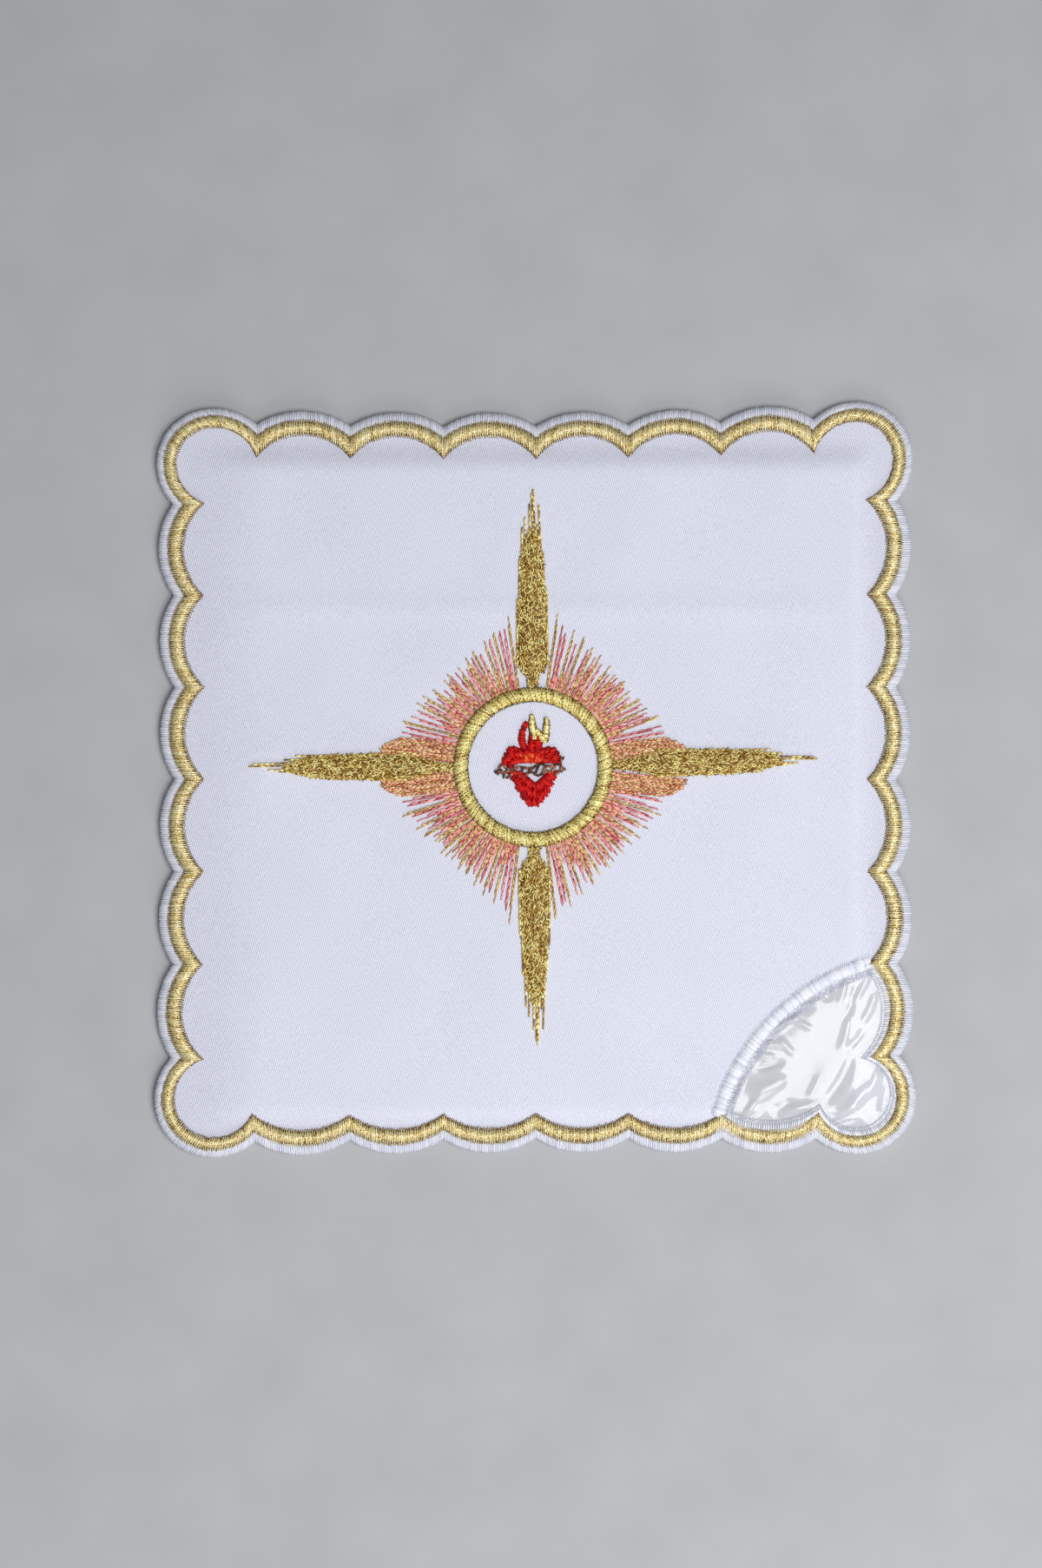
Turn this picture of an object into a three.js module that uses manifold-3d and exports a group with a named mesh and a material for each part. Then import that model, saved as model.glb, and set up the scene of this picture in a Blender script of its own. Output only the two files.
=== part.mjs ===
// A chalice pall: a stiffened square of white twill with a scalloped, satin-stitched edge, lying face up.
// Millimetres. The underside lies on z = 0, +Y is towards the top of the design and +Z is up.

import * as THREE from 'three';
import { mergeVertices } from 'three/addons/utils/BufferGeometryUtils.js';
import Module from 'manifold-3d';

const wasm = await Module();
wasm.setup();

// Layers, from the underside upwards
const CLEARANCE = 0.3;
const CLOTH_THICK = 1.0;
const PLATE_THICK = 1.2;
const PLATE_FLOOR = CLOTH_THICK + CLEARANCE;
const MARGIN_TOP = PLATE_FLOOR + CLOTH_THICK;
const LIFT_OVER_PLATE = PLATE_THICK + CLEARANCE;

// The clear stiffening plate between the two cloths
const PLATE_SIDE = 140;
const PLATE_CORNER_RADIUS = 2;
const PLATE_CENTRE = { x: -0.7, y: -1.7 };
const SLOPE = [
  { past: 0.5, lifted: 1 },
  { past: 2.2, lifted: 0.55 },
  { past: 4.0, lifted: 0 },
];

// The scalloped outline, with one lobe at each corner
const SCALLOP_PITCH = 20;
const SCALLOPS_PER_SIDE = 6;
const SCALLOP_RADIUS = 17.7;
const SCALLOP_CENTRE_OUT = 63.8;
const CORNER_RADIUS = 12.95;
const CORNER_CENTRE_OUT = 68.6;
const CORNER_BAND_SHARE = 0.78;
const SCALLOP_STEPS = 5;
const CORNER_STEPS = 10;

// How each side lies out of square: moved out, its middle drawn in, and its + end leaning out.
// tighten is how much its scallops close up from the outline to the inner bands: 1 is a true offset.
const OUT_OF_SQUARE_AT = 78.4;
const SIDES = {
  bottom: { out: 0.35, drawnIn: 0.8, lean: -0.39, tighten: 0.1 },
  right: { out: 0.8, drawnIn: 0.9, lean: -0.39, tighten: 0.7 },
  top: { out: 0.1, drawnIn: 1.9, lean: 0.75, tighten: 1 },
  left: { out: 1.3, drawnIn: 1.1, lean: -0.25, tighten: 0.7 },
};

// Soft folds of the face cloth over the plate
const FOLD_EASE = 10;
const FOLDS = [
  { y: 36.8, fromX: -70, toX: 69, wide: 2.6, high: 0.25 },
  { y: 5.0, fromX: -66, toX: -17, wide: 5.5, high: 0.4 },
  { y: 5.5, fromX: 16, toX: 64, wide: 5.0, high: 0.35 },
];

// Bands of the edge, measured in from the outline
const CLOTH_INSET = 2.0;
const GOLD_INNER_INSET = 5.3;
const GOLD_HIGH = 0.75;
const RIM_SECTION = [
  { inset: 0.5, z: 0 },
  { inset: 0, z: 0.6 },
  { inset: 0, z: 1.7 },
  { inset: 0.45, z: 2.35 },
  { inset: 1.1, z: 2.65 },
  { inset: 1.7, z: 2.5 },
  { inset: 1.7, z: 0 },
];

// The clear corner window and the satin band on its curved edge
const WINDOW = { x: 86.6, y: -86.4 };
const WINDOW_BAND_OUTER = 50.3;
const WINDOW_BAND_WIDE = 3.2;
const WINDOW_BAND_HIGH = 0.7;
const WINDOW_BAND_FROM = 107.5;
const WINDOW_BAND_TO = 163;
const WINDOW_STEPS = 26;
const WINDOW_SEAM = WINDOW_BAND_OUTER - WINDOW_BAND_WIDE / 2;
const WINDOW_CIRCLE_STEPS = 96;

// The ring round the emblem
const RING = { x: -0.45, y: 2.7 };
const RING_INNER = 14.1;
const RING_OUTER = 17.3;
const RING_HIGH = 1.1;
const RING_STEPS = 64;

// The four long rays, from the ring outwards
const RAY_HIGH = 0.7;
const UPRIGHT_RAY = [
  { at: 17.6, half: 1.2 },
  { at: 20.4, half: 1.3 },
  { at: 22.6, half: 3.2 },
  { at: 28.0, half: 3.5 },
  { at: 36.0, half: 3.1 },
  { at: 46.0, half: 2.6 },
  { at: 51.0, half: 2.0 },
  { at: 56.0, half: 1.0 },
  { at: 59.8, half: 0.15 },
];
const LEVEL_RAY = [
  { at: 17.6, half: 0.8 },
  { at: 22.0, half: 1.1 },
  { at: 29.0, half: 2.6 },
  { at: 35.0, half: 3.3 },
  { at: 41.0, half: 2.9 },
  { at: 47.5, half: 2.6 },
  { at: 54.0, half: 1.7 },
  { at: 60.5, half: 0.15 },
];
const LONG_RAYS = [
  { name: 'gold_ray_right', turn: 1.6, table: LEVEL_RAY },
  { name: 'gold_ray_top', turn: 90.3, table: UPRIGHT_RAY },
  { name: 'gold_ray_left', turn: 180, table: LEVEL_RAY },
  { name: 'gold_ray_bottom', turn: 270.7, table: UPRIGHT_RAY },
];

// The four fans of thin rays between them
const THIN_RAYS = 25;
const THIN_ROOT_RADIUS = 18.2;
const THIN_ROOT_BAND = 1.0;
const THIN_ROOT_HIGH = 0.3;
const THIN_ROOT_STEPS = 14;
const THIN_HIGH = 0.45;
const THIN_HALF_ROOT = 0.36;
const THIN_HALF_TIP = 0.24;
const THIN_ROOT_FROM = 10.8;
const THIN_ROOT_TO = 79.2;
const THIN_TIP_FROM = 10.4;
const THIN_TIP_TO = 81.6;
const THIN_DIAMOND = 38.4;
const THIN_REACH = [1, 0.92, 0.97, 0.88, 0.95];
const THIN_FANS = [
  { name: 'thin_rays_top_right', signX: 1, signY: 1 },
  { name: 'thin_rays_top_left', signX: -1, signY: 1 },
  { name: 'thin_rays_bottom_left', signX: -1, signY: -1 },
  { name: 'thin_rays_bottom_right', signX: 1, signY: -1 },
];
const SUNK = 0.02;

// The heart emblem, placed from the middle of the ring
const HEART = { x: -0.45, y: -2.0 };
const HEART_HALF_WIDE = 6.2;
const HEART_CURVE_HALF = 16;
const HEART_CURVE_MIDDLE = -2.5;
const HEART_STRETCH = 1.15;
const HEART_STEPS = 48;
const HEART_HIGH = 0.75;
const HEART_FULLNESS = 1.8;
const HEART_PAD = [
  { scale: 1, up: 0 },
  { scale: 1, up: 0.5 },
  { scale: 0.88, up: 1 },
];
const HEART_UPPER_FROM = 2.7;
const HEART_LOWER_TO = -0.1;
const HEART_NOTCH_WIDE = 4.6;
const HEART_NOTCH_DEEP = 2.6;
const CROWN_HALF_LONG = 7.4;
const CROWN_Y = 1.3;
const CROWN_SWING = 0.62;
const CROWN_WAVES = 3.5;
const CROWN_HALF_WIDE = 0.27;
const CROWN_HIGH = 0.6;
const CROWN_STEPS = 28;
const THORNS = [
  { x: -6.6, lean: 0.9, up: 1 },
  { x: -5.9, lean: -0.6, up: -1 },
  { x: 6.2, lean: 0.7, up: 1 },
  { x: 6.9, lean: 0.9, up: -1 },
];
const THORN_LONG = 1.3;
const FLAME_STEPS = 7;
const FLAME_HIGH = 0.6;
const RED_FLAMES = [
  { rootX: -0.6, rootY: 5.4, tipX: -1.2, tipY: 11.8, bow: -2.0, half: 0.75 },
  { rootX: 0.5, rootY: 4.6, tipX: -0.1, tipY: 8.2, bow: 0, half: 1.5 },
];
const GOLD_FLAMES = [
  { rootX: 1.5, rootY: 8.4, tipX: 0.1, tipY: 13.1, bow: -0.2, half: 0.85 },
  { rootX: 2.1, rootY: 8.3, tipX: 3.8, tipY: 12.2, bow: 1.0, half: 0.75 },
];

// Cross-sections: the share of the way across a piece, and the share of its height
const SATIN_SECTION = [
  { across: 0.5, up: 0 },
  { across: 0, up: 0 },
  { across: 0.03, up: 0.5 },
  { across: 0.28, up: 0.94 },
  { across: 0.68, up: 1 },
  { across: 0.97, up: 0.5 },
  { across: 1, up: 0 },
];
const STRAND_SECTION = [
  { across: 0, up: 0 },
  { across: 0.2, up: 1 },
  { across: 0.8, up: 1 },
  { across: 1, up: 0 },
];

// Finishes
const WHITE_CLOTH = { color: 0xd6d8e2, roughness: 0.85, metalness: 0 };
const WHITE_THREAD = { color: 0xe4e6ee, roughness: 0.5, metalness: 0 };
const GOLD_THREAD = { color: 0xc8a548, roughness: 0.35, metalness: 0.7 };
const PINK_THREAD = { color: 0xd98080, roughness: 0.5, metalness: 0 };
const RED_THREAD = { color: 0xb81414, roughness: 0.5, metalness: 0 };
const BROWN_THREAD = { color: 0x5a3a32, roughness: 0.6, metalness: 0 };
const CLEAR_FILM = { color: 0xeef3f3, roughness: 0.1, metalness: 0 };
const CLEAR_PLATE = { color: 0xdfe6ea, roughness: 0.2, metalness: 0 };

const radians = THREE.MathUtils.degToRad;
const lerp = THREE.MathUtils.lerp;

function solidOf(geometry) {
  const bare = geometry.clone();
  bare.deleteAttribute('normal');
  bare.deleteAttribute('uv');
  const merged = mergeVertices(bare);
  return new wasm.Manifold(new wasm.Mesh({
    numProp: 3,
    vertProperties: new Float32Array(merged.attributes.position.array),
    triVerts: new Uint32Array(merged.index.array),
  }));
}

function geometryOf(solid) {
  const mesh = solid.getMesh();
  const geometry = new THREE.BufferGeometry();
  geometry.setAttribute('position', new THREE.BufferAttribute(mesh.vertProperties, 3));
  geometry.setIndex(new THREE.BufferAttribute(mesh.triVerts, 1));
  geometry.computeVertexNormals();
  return geometry;
}

function signedVolume(positions, faces) {
  const a = new THREE.Vector3();
  const b = new THREE.Vector3();
  const c = new THREE.Vector3();
  let six = 0;
  for (let i = 0; i < faces.length; i += 3) {
    a.fromArray(positions, 3 * faces[i]);
    b.fromArray(positions, 3 * faces[i + 1]);
    c.fromArray(positions, 3 * faces[i + 2]);
    six += a.dot(b.cross(c));
  }
  return six / 6;
}

// A closed body from its points and faces, turned so that the faces point out.
function closedBody(points, faces) {
  const positions = points.flatMap((p) => [p.x, p.y, p.z]);
  const turned = signedVolume(positions, faces) < 0 ? faces.slice().reverse() : faces;
  const geometry = new THREE.BufferGeometry();
  geometry.setAttribute('position', new THREE.Float32BufferAttribute(positions, 3));
  geometry.setIndex(turned);
  geometry.computeVertexNormals();
  return geometry;
}

// A skin over a row of like sections, joined end to end or capped at its ends.
function loft(sections, joined) {
  const count = sections[0].length;
  const last = (sections.length - 1) * count;
  const faces = [];
  const runs = joined ? sections.length : sections.length - 1;
  for (let i = 0; i < runs; i += 1) {
    const here = i * count;
    const next = ((i + 1) % sections.length) * count;
    for (let j = 0; j < count; j += 1) {
      const k = (j + 1) % count;
      faces.push(here + j, next + j, here + k);
      faces.push(here + k, next + j, next + k);
    }
  }
  for (let j = 1; !joined && j < count - 1; j += 1) {
    faces.push(0, j, j + 1);
    faces.push(last, last + j + 1, last + j);
  }
  return closedBody(sections.flat(), faces);
}

// Where a side lies, as a shift outwards at a share of the way along it.
function shiftOut(side, along) {
  return side.out - side.drawnIn * (1 - along * along) + side.lean * along;
}

function lie(x, y) {
  const u = x / OUT_OF_SQUARE_AT;
  const v = y / OUT_OF_SQUARE_AT;
  const shiftX = x > 0 ? shiftOut(SIDES.right, v) : -shiftOut(SIDES.left, v);
  const shiftY = y > 0 ? shiftOut(SIDES.top, u) : -shiftOut(SIDES.bottom, u);
  return new THREE.Vector2(x + u * u * shiftX, y + v * v * shiftY);
}

// The lobes in order round the outline: each side's scallops and the corner after them.
function outlineLobes() {
  const lobes = [];
  [SIDES.bottom, SIDES.right, SIDES.top, SIDES.left].forEach((side, quarter) => {
    const turned = (x, y) => new THREE.Vector2(x, y).rotateAround(new THREE.Vector2(), (quarter * Math.PI) / 2);
    const inwards = turned(0, 1);
    for (let i = 0; i < SCALLOPS_PER_SIDE; i += 1) {
      const along = (i - (SCALLOPS_PER_SIDE - 1) / 2) * SCALLOP_PITCH;
      const centre = turned(along, -SCALLOP_CENTRE_OUT);
      const { tighten } = side;
      lobes.push({ centre, inwards, radius: SCALLOP_RADIUS, share: 1, tighten, steps: SCALLOP_STEPS });
    }
    lobes.push({
      centre: turned(CORNER_CENTRE_OUT, -CORNER_CENTRE_OUT),
      inwards,
      radius: CORNER_RADIUS,
      share: CORNER_BAND_SHARE,
      tighten: 1,
      steps: CORNER_STEPS,
    });
  });
  return lobes;
}

const LOBES = outlineLobes();

// The circle that a lobe follows at an inset from the outline.
function lobeCircle(lobe, inset) {
  const band = inset * lobe.share;
  const moved = lobe.inwards.clone().multiplyScalar(band * (1 - lobe.tighten));
  const centre = lobe.centre.clone().add(moved);
  return { x: centre.x, y: centre.y, radius: lobe.radius - band * lobe.tighten, steps: lobe.steps };
}

// The outer point where two neighbouring circles meet.
function notchBetween(a, b) {
  const apart = Math.hypot(b.x - a.x, b.y - a.y);
  const ux = (b.x - a.x) / apart;
  const uy = (b.y - a.y) / apart;
  const along = (apart * apart + a.radius * a.radius - b.radius * b.radius) / (2 * apart);
  const out = Math.sqrt(a.radius * a.radius - along * along);
  return { x: a.x + along * ux + out * uy, y: a.y + along * uy - out * ux };
}

// The scalloped line at an inset. Its points match those at any other inset, one for one.
function scallopedLine(inset) {
  const points = [];
  const circles = LOBES.map((lobe) => lobeCircle(lobe, inset));
  circles.forEach((circle, i) => {
    const before = notchBetween(circles.at(i - 1), circle);
    const after = notchBetween(circle, circles[(i + 1) % circles.length]);
    const from = Math.atan2(before.y - circle.y, before.x - circle.x);
    const to = Math.atan2(after.y - circle.y, after.x - circle.x);
    const sweep = (to - from + 2 * Math.PI) % (2 * Math.PI);
    for (let step = 0; step < circle.steps; step += 1) {
      const angle = from + (sweep * step) / circle.steps;
      const x = circle.x + circle.radius * Math.cos(angle);
      const y = circle.y + circle.radius * Math.sin(angle);
      points.push(lie(x, y));
    }
  });
  return points;
}

// The outline's own middle is the middle of the part.
const MIDDLE = new THREE.Box2().setFromPoints(scallopedLine(0)).getCenter(new THREE.Vector2());

function edgeLine(inset) {
  return scallopedLine(inset).map((point) => point.sub(MIDDLE));
}

// How far the face cloth is lifted by the plate under it, from 0 to 1.
function liftShare(x, y) {
  const pastX = Math.abs(x - PLATE_CENTRE.x) - PLATE_SIDE / 2;
  const pastY = Math.abs(y - PLATE_CENTRE.y) - PLATE_SIDE / 2;
  const past = Math.hypot(Math.max(pastX, 0), Math.max(pastY, 0));
  if (past <= SLOPE[0].past) {
    return 1;
  }
  for (let i = 1; i < SLOPE.length; i += 1) {
    if (past < SLOPE[i].past) {
      const share = (past - SLOPE[i - 1].past) / (SLOPE[i].past - SLOPE[i - 1].past);
      return lerp(SLOPE[i - 1].lifted, SLOPE[i].lifted, share);
    }
  }
  return 0;
}

function foldHeight(x, y) {
  return FOLDS.reduce((sum, fold) => {
    const ease = Math.min(1, (x - fold.fromX) / FOLD_EASE, (fold.toX - x) / FOLD_EASE);
    const away = (y - fold.y) / fold.wide;
    return sum + Math.max(0, ease) * fold.high * Math.exp(-away * away);
  }, 0);
}

function faceTop(x, y) {
  const lifted = liftShare(x, y);
  return MARGIN_TOP + lifted * (LIFT_OVER_PLATE + foldHeight(x, y));
}

// What is sewn on the face clears the highest cloth close by.
const SEAT_REACH = 1.1;

function seat(x, y) {
  const around = [[0, 0], [SEAT_REACH, 0], [-SEAT_REACH, 0], [0, SEAT_REACH], [0, -SEAT_REACH]];
  return CLEARANCE + Math.max(...around.map(([dx, dy]) => faceTop(x + dx, y + dy)));
}

// One cross-section of a sewn band that lies on the face, from its left edge to its right.
function sewnSection(left, right, high, section, sunk = 0) {
  return section.map((row) => {
    const x = lerp(left.x, right.x, row.across);
    const y = lerp(left.y, right.y, row.across);
    const lowered = row.up === 0 ? sunk : 0;
    return new THREE.Vector3(x, y, seat(x, y) + row.up * high - lowered);
  });
}

// A sewn strip along a centre line with its own half width at each point.
function strip(centres, halves, high, section, sunk) {
  const sections = centres.map((centre, i) => {
    const before = centres[Math.max(i - 1, 0)];
    const after = centres[Math.min(i + 1, centres.length - 1)];
    const along = new THREE.Vector2().subVectors(after, before).normalize();
    const aside = new THREE.Vector2(-along.y, along.x).multiplyScalar(halves[i]);
    return sewnSection(centre.clone().add(aside), centre.clone().sub(aside), high, section, sunk);
  });
  return loft(sections, false);
}

function outlineShape(points) {
  return new THREE.Shape(points);
}

// An upright block over an outline, tall enough to cut any of the layers.
function uprightBlock(points) {
  const depth = 20;
  const block = new THREE.ExtrudeGeometry(outlineShape(points), { depth, bevelEnabled: false });
  block.translate(0, 0, -depth / 2);
  return solidOf(block);
}

function circlePoints(centre, radius, steps) {
  return Array.from({ length: steps }, (_, i) => {
    const angle = (2 * Math.PI * i) / steps;
    return new THREE.Vector2(centre.x + radius * Math.cos(angle), centre.y + radius * Math.sin(angle));
  });
}

// The grid lines of the face cloth: across the plate's slopes, and close together at the folds.
function gridLines(middle, inner) {
  const reach = 86;
  const half = PLATE_SIDE / 2;
  const slopes = SLOPE.map((row) => half + row.past);
  return [
    -reach,
    ...slopes.map((out) => middle - out),
    ...inner,
    ...slopes.map((out) => middle + out),
    reach,
  ].sort((a, b) => a - b);
}

const FACE_LINES_X = gridLines(PLATE_CENTRE.x, [-60, -52, -36, -27, -17, 16, 26, 40, 54, 62]);
const FACE_LINES_Y = gridLines(
  PLATE_CENTRE.y,
  [-56, -38, -20, -8, -3, 0, 2.5, 5.2, 8, 10.5, 14, 22, 32, 34.5, 36.8, 39.1, 41.6, 50, 60],
);

// The face layer as one sheet over the whole grid, before it is cut to its outline.
function faceSheet() {
  const points = [];
  const faces = [];
  const rows = FACE_LINES_Y.length;
  const layer = FACE_LINES_X.length * rows;
  for (const drop of [0, CLOTH_THICK]) {
    for (const x of FACE_LINES_X) {
      for (const y of FACE_LINES_Y) {
        points.push(new THREE.Vector3(x, y, faceTop(x, y) - drop));
      }
    }
  }
  const quad = (a, b, c, d) => faces.push(a, b, c, a, c, d);
  for (let i = 0; i < FACE_LINES_X.length - 1; i += 1) {
    for (let j = 0; j < rows - 1; j += 1) {
      const a = i * rows + j;
      quad(a, a + rows, a + rows + 1, a + 1);
      quad(layer + a, layer + a + 1, layer + a + rows + 1, layer + a + rows);
    }
  }
  const rim = [];
  for (let i = 0; i < FACE_LINES_X.length - 1; i += 1) rim.push(i * rows);
  for (let j = 0; j < rows - 1; j += 1) rim.push(layer - rows + j);
  for (let i = FACE_LINES_X.length - 1; i > 0; i -= 1) rim.push(i * rows + rows - 1);
  for (let j = rows - 1; j > 0; j -= 1) rim.push(j);
  rim.forEach((here, i) => {
    const next = rim[(i + 1) % rim.length];
    quad(next, here, layer + here, layer + next);
  });
  return solidOf(closedBody(points, faces));
}

function backCloth() {
  const shape = outlineShape(edgeLine(CLOTH_INSET));
  return new THREE.ExtrudeGeometry(shape, { depth: CLOTH_THICK, bevelEnabled: false });
}

function stiffeningPlate() {
  const half = PLATE_SIDE / 2 - PLATE_CORNER_RADIUS;
  const shape = new THREE.Shape();
  [[1, -1, -90], [1, 1, 0], [-1, 1, 90], [-1, -1, 180]].forEach(([sx, sy, from]) => {
    const x = PLATE_CENTRE.x + sx * half;
    const y = PLATE_CENTRE.y + sy * half;
    shape.absarc(x, y, PLATE_CORNER_RADIUS, radians(from), radians(from + 90), false);
  });
  const options = { depth: PLATE_THICK, bevelEnabled: false, curveSegments: 4 };
  return new THREE.ExtrudeGeometry(shape, options).translate(0, 0, PLATE_FLOOR);
}

// The face layer in its outline, as the cloth with the corner cut out and as the film that fills it.
function faceLayer() {
  const cut = faceSheet().intersect(uprightBlock(edgeLine(CLOTH_INSET)));
  const gap = CLEARANCE / 2;
  const round = (radius) => uprightBlock(circlePoints(WINDOW, radius, WINDOW_CIRCLE_STEPS));
  return {
    cloth: geometryOf(cut.subtract(round(WINDOW_SEAM + gap))),
    film: geometryOf(cut.intersect(round(WINDOW_SEAM - gap))),
  };
}

function whiteEdging() {
  const lines = RIM_SECTION.map((row) => edgeLine(row.inset));
  const sections = lines[0].map((_, i) => RIM_SECTION.map((row, j) => {
    const point = lines[j][i];
    return new THREE.Vector3(point.x, point.y, row.z);
  }));
  return loft(sections, true);
}

function goldEdging() {
  const outer = edgeLine(CLOTH_INSET);
  const inner = edgeLine(GOLD_INNER_INSET);
  const sections = outer.map((point, i) => sewnSection(point, inner[i], GOLD_HIGH, SATIN_SECTION));
  return loft(sections, true);
}

function arcPoint(centre, radius, angle) {
  return new THREE.Vector2(centre.x + radius * Math.cos(angle), centre.y + radius * Math.sin(angle));
}

function windowEdging() {
  const sections = [];
  for (let i = 0; i <= WINDOW_STEPS; i += 1) {
    const angle = radians(lerp(WINDOW_BAND_FROM, WINDOW_BAND_TO, i / WINDOW_STEPS));
    const outer = arcPoint(WINDOW, WINDOW_BAND_OUTER, angle);
    const inner = arcPoint(WINDOW, WINDOW_BAND_OUTER - WINDOW_BAND_WIDE, angle);
    sections.push(sewnSection(outer, inner, WINDOW_BAND_HIGH, SATIN_SECTION));
  }
  return loft(sections, false);
}

function goldRing() {
  const sections = [];
  for (let i = 0; i < RING_STEPS; i += 1) {
    const angle = (2 * Math.PI * i) / RING_STEPS;
    const outer = arcPoint(RING, RING_OUTER, angle);
    const inner = arcPoint(RING, RING_INNER, angle);
    sections.push(sewnSection(outer, inner, RING_HIGH, SATIN_SECTION));
  }
  return loft(sections, true);
}

function longRay(ray) {
  const centres = ray.table.map((row) => arcPoint(RING, row.at, radians(ray.turn)));
  const halves = ray.table.map((row) => row.half);
  return strip(centres, halves, RAY_HIGH, SATIN_SECTION);
}

function fanPoint(fan, radius, degrees) {
  const angle = radians(degrees);
  const x = RING.x + fan.signX * radius * Math.sin(angle);
  return new THREE.Vector2(x, RING.y + fan.signY * radius * Math.cos(angle));
}

// A fan of thin rays that end on the side of a diamond, fused to a low arc along the ring.
function thinRays(fan) {
  const rootSections = [];
  for (let i = 0; i <= THIN_ROOT_STEPS; i += 1) {
    const degrees = lerp(THIN_ROOT_FROM, THIN_ROOT_TO, i / THIN_ROOT_STEPS);
    const inner = fanPoint(fan, THIN_ROOT_RADIUS - THIN_ROOT_BAND / 2, degrees);
    const outer = fanPoint(fan, THIN_ROOT_RADIUS + THIN_ROOT_BAND / 2, degrees);
    rootSections.push(sewnSection(inner, outer, THIN_ROOT_HIGH, STRAND_SECTION, SUNK));
  }
  let solid = solidOf(loft(rootSections, false));
  for (let i = 0; i < THIN_RAYS; i += 1) {
    const share = i / (THIN_RAYS - 1);
    const rootDegrees = lerp(THIN_ROOT_FROM, THIN_ROOT_TO, share);
    const tipDegrees = lerp(THIN_TIP_FROM, THIN_TIP_TO, share);
    const tip = radians(tipDegrees);
    const reach = THIN_DIAMOND * THIN_REACH[i % THIN_REACH.length];
    const tipRadius = reach / (Math.cos(tip) + Math.sin(tip));
    const root = fanPoint(fan, THIN_ROOT_RADIUS, rootDegrees);
    const end = fanPoint(fan, tipRadius, tipDegrees);
    const centres = [root, root.clone().lerp(end, 0.5), end];
    const halves = [THIN_HALF_ROOT, (THIN_HALF_ROOT + THIN_HALF_TIP) / 2, THIN_HALF_TIP];
    solid = solid.add(solidOf(strip(centres, halves, THIN_HIGH, STRAND_SECTION)));
  }
  return geometryOf(solid);
}

// A closed heart curve round the emblem's own middle, from its point at the foot.
function heartOutline(scale) {
  const size = (scale * HEART_HALF_WIDE) / HEART_CURVE_HALF;
  return Array.from({ length: HEART_STEPS }, (_, i) => {
    const t = Math.PI + (2 * Math.PI * i) / HEART_STEPS;
    const x = HEART_CURVE_HALF * Math.sign(Math.sin(t)) * Math.abs(Math.sin(t)) ** HEART_FULLNESS;
    const y = 13 * Math.cos(t) - 5 * Math.cos(2 * t) - 2 * Math.cos(3 * t) - Math.cos(4 * t);
    return onEmblem(size * x, size * HEART_STRETCH * (y - HEART_CURVE_MIDDLE));
  });
}

function onEmblem(x, y) {
  return new THREE.Vector2(RING.x + HEART.x + x, RING.y + HEART.y + y);
}

// The whole heart as a low pad with a rounded rim.
function heartPad() {
  const middle = onEmblem(0, 0);
  const floor = seat(middle.x, middle.y);
  const rings = HEART_PAD.map((row) => heartOutline(row.scale).map((point) => (
    new THREE.Vector3(point.x, point.y, floor + row.up * HEART_HIGH)
  )));
  return solidOf(loft(rings, false));
}

function bandBlock(fromY, toY) {
  const corners = [onEmblem(-10, fromY), onEmblem(10, fromY), onEmblem(10, toY), onEmblem(-10, toY)];
  return uprightBlock(corners);
}

function flame(row) {
  const root = onEmblem(row.rootX, row.rootY);
  const tip = onEmblem(row.tipX, row.tipY);
  const side = root.clone().lerp(tip, 0.5).add(new THREE.Vector2(row.bow, 0));
  const curve = new THREE.QuadraticBezierCurve(root, side, tip);
  const centres = curve.getPoints(FLAME_STEPS);
  const halves = centres.map((_, i) => {
    const along = i / FLAME_STEPS;
    return row.half * (0.12 + 0.88 * Math.sqrt(1 - along)) * (0.75 + 0.5 * along * (1 - along) * 2);
  });
  return solidOf(strip(centres, halves, FLAME_HIGH, SATIN_SECTION, SUNK));
}

function upperHeart() {
  let solid = heartPad().intersect(bandBlock(HEART_UPPER_FROM, 20));
  RED_FLAMES.forEach((row) => {
    solid = solid.add(flame(row));
  });
  return geometryOf(solid);
}

function lowerHeart() {
  const notch = uprightBlock([
    onEmblem(0.3, HEART_LOWER_TO - HEART_NOTCH_DEEP),
    onEmblem(0.3 + HEART_NOTCH_WIDE / 2, HEART_LOWER_TO + 1),
    onEmblem(0.3 - HEART_NOTCH_WIDE / 2, HEART_LOWER_TO + 1),
  ]);
  return geometryOf(heartPad().intersect(bandBlock(-20, HEART_LOWER_TO)).subtract(notch));
}

// Two wavy stems that cross each other, with thorns at their ends.
function crownOfThorns() {
  const stem = (sign, high, sunk) => {
    const centres = Array.from({ length: CROWN_STEPS + 1 }, (_, i) => {
      const along = i / CROWN_STEPS;
      const swing = CROWN_SWING * Math.cos(along * CROWN_WAVES * 2 * Math.PI);
      return onEmblem(lerp(-CROWN_HALF_LONG, CROWN_HALF_LONG, along), CROWN_Y + sign * swing);
    });
    const halves = centres.map(() => CROWN_HALF_WIDE);
    return solidOf(strip(centres, halves, high, STRAND_SECTION, sunk));
  };
  let solid = stem(1, CROWN_HIGH, 0).add(stem(-1, CROWN_HIGH - SUNK, SUNK));
  THORNS.forEach((thorn) => {
    const root = onEmblem(thorn.x, CROWN_Y);
    const end = onEmblem(thorn.x + thorn.lean, CROWN_Y + thorn.up * THORN_LONG);
    const halves = [CROWN_HALF_WIDE, CROWN_HALF_WIDE / 3];
    solid = solid.add(solidOf(strip([root, end], halves, CROWN_HIGH - 2 * SUNK, STRAND_SECTION, SUNK / 2)));
  });
  return geometryOf(solid);
}

function goldFlames() {
  return geometryOf(GOLD_FLAMES.map(flame).reduce((all, one) => all.add(one)));
}

const pall = new THREE.Group();

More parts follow.
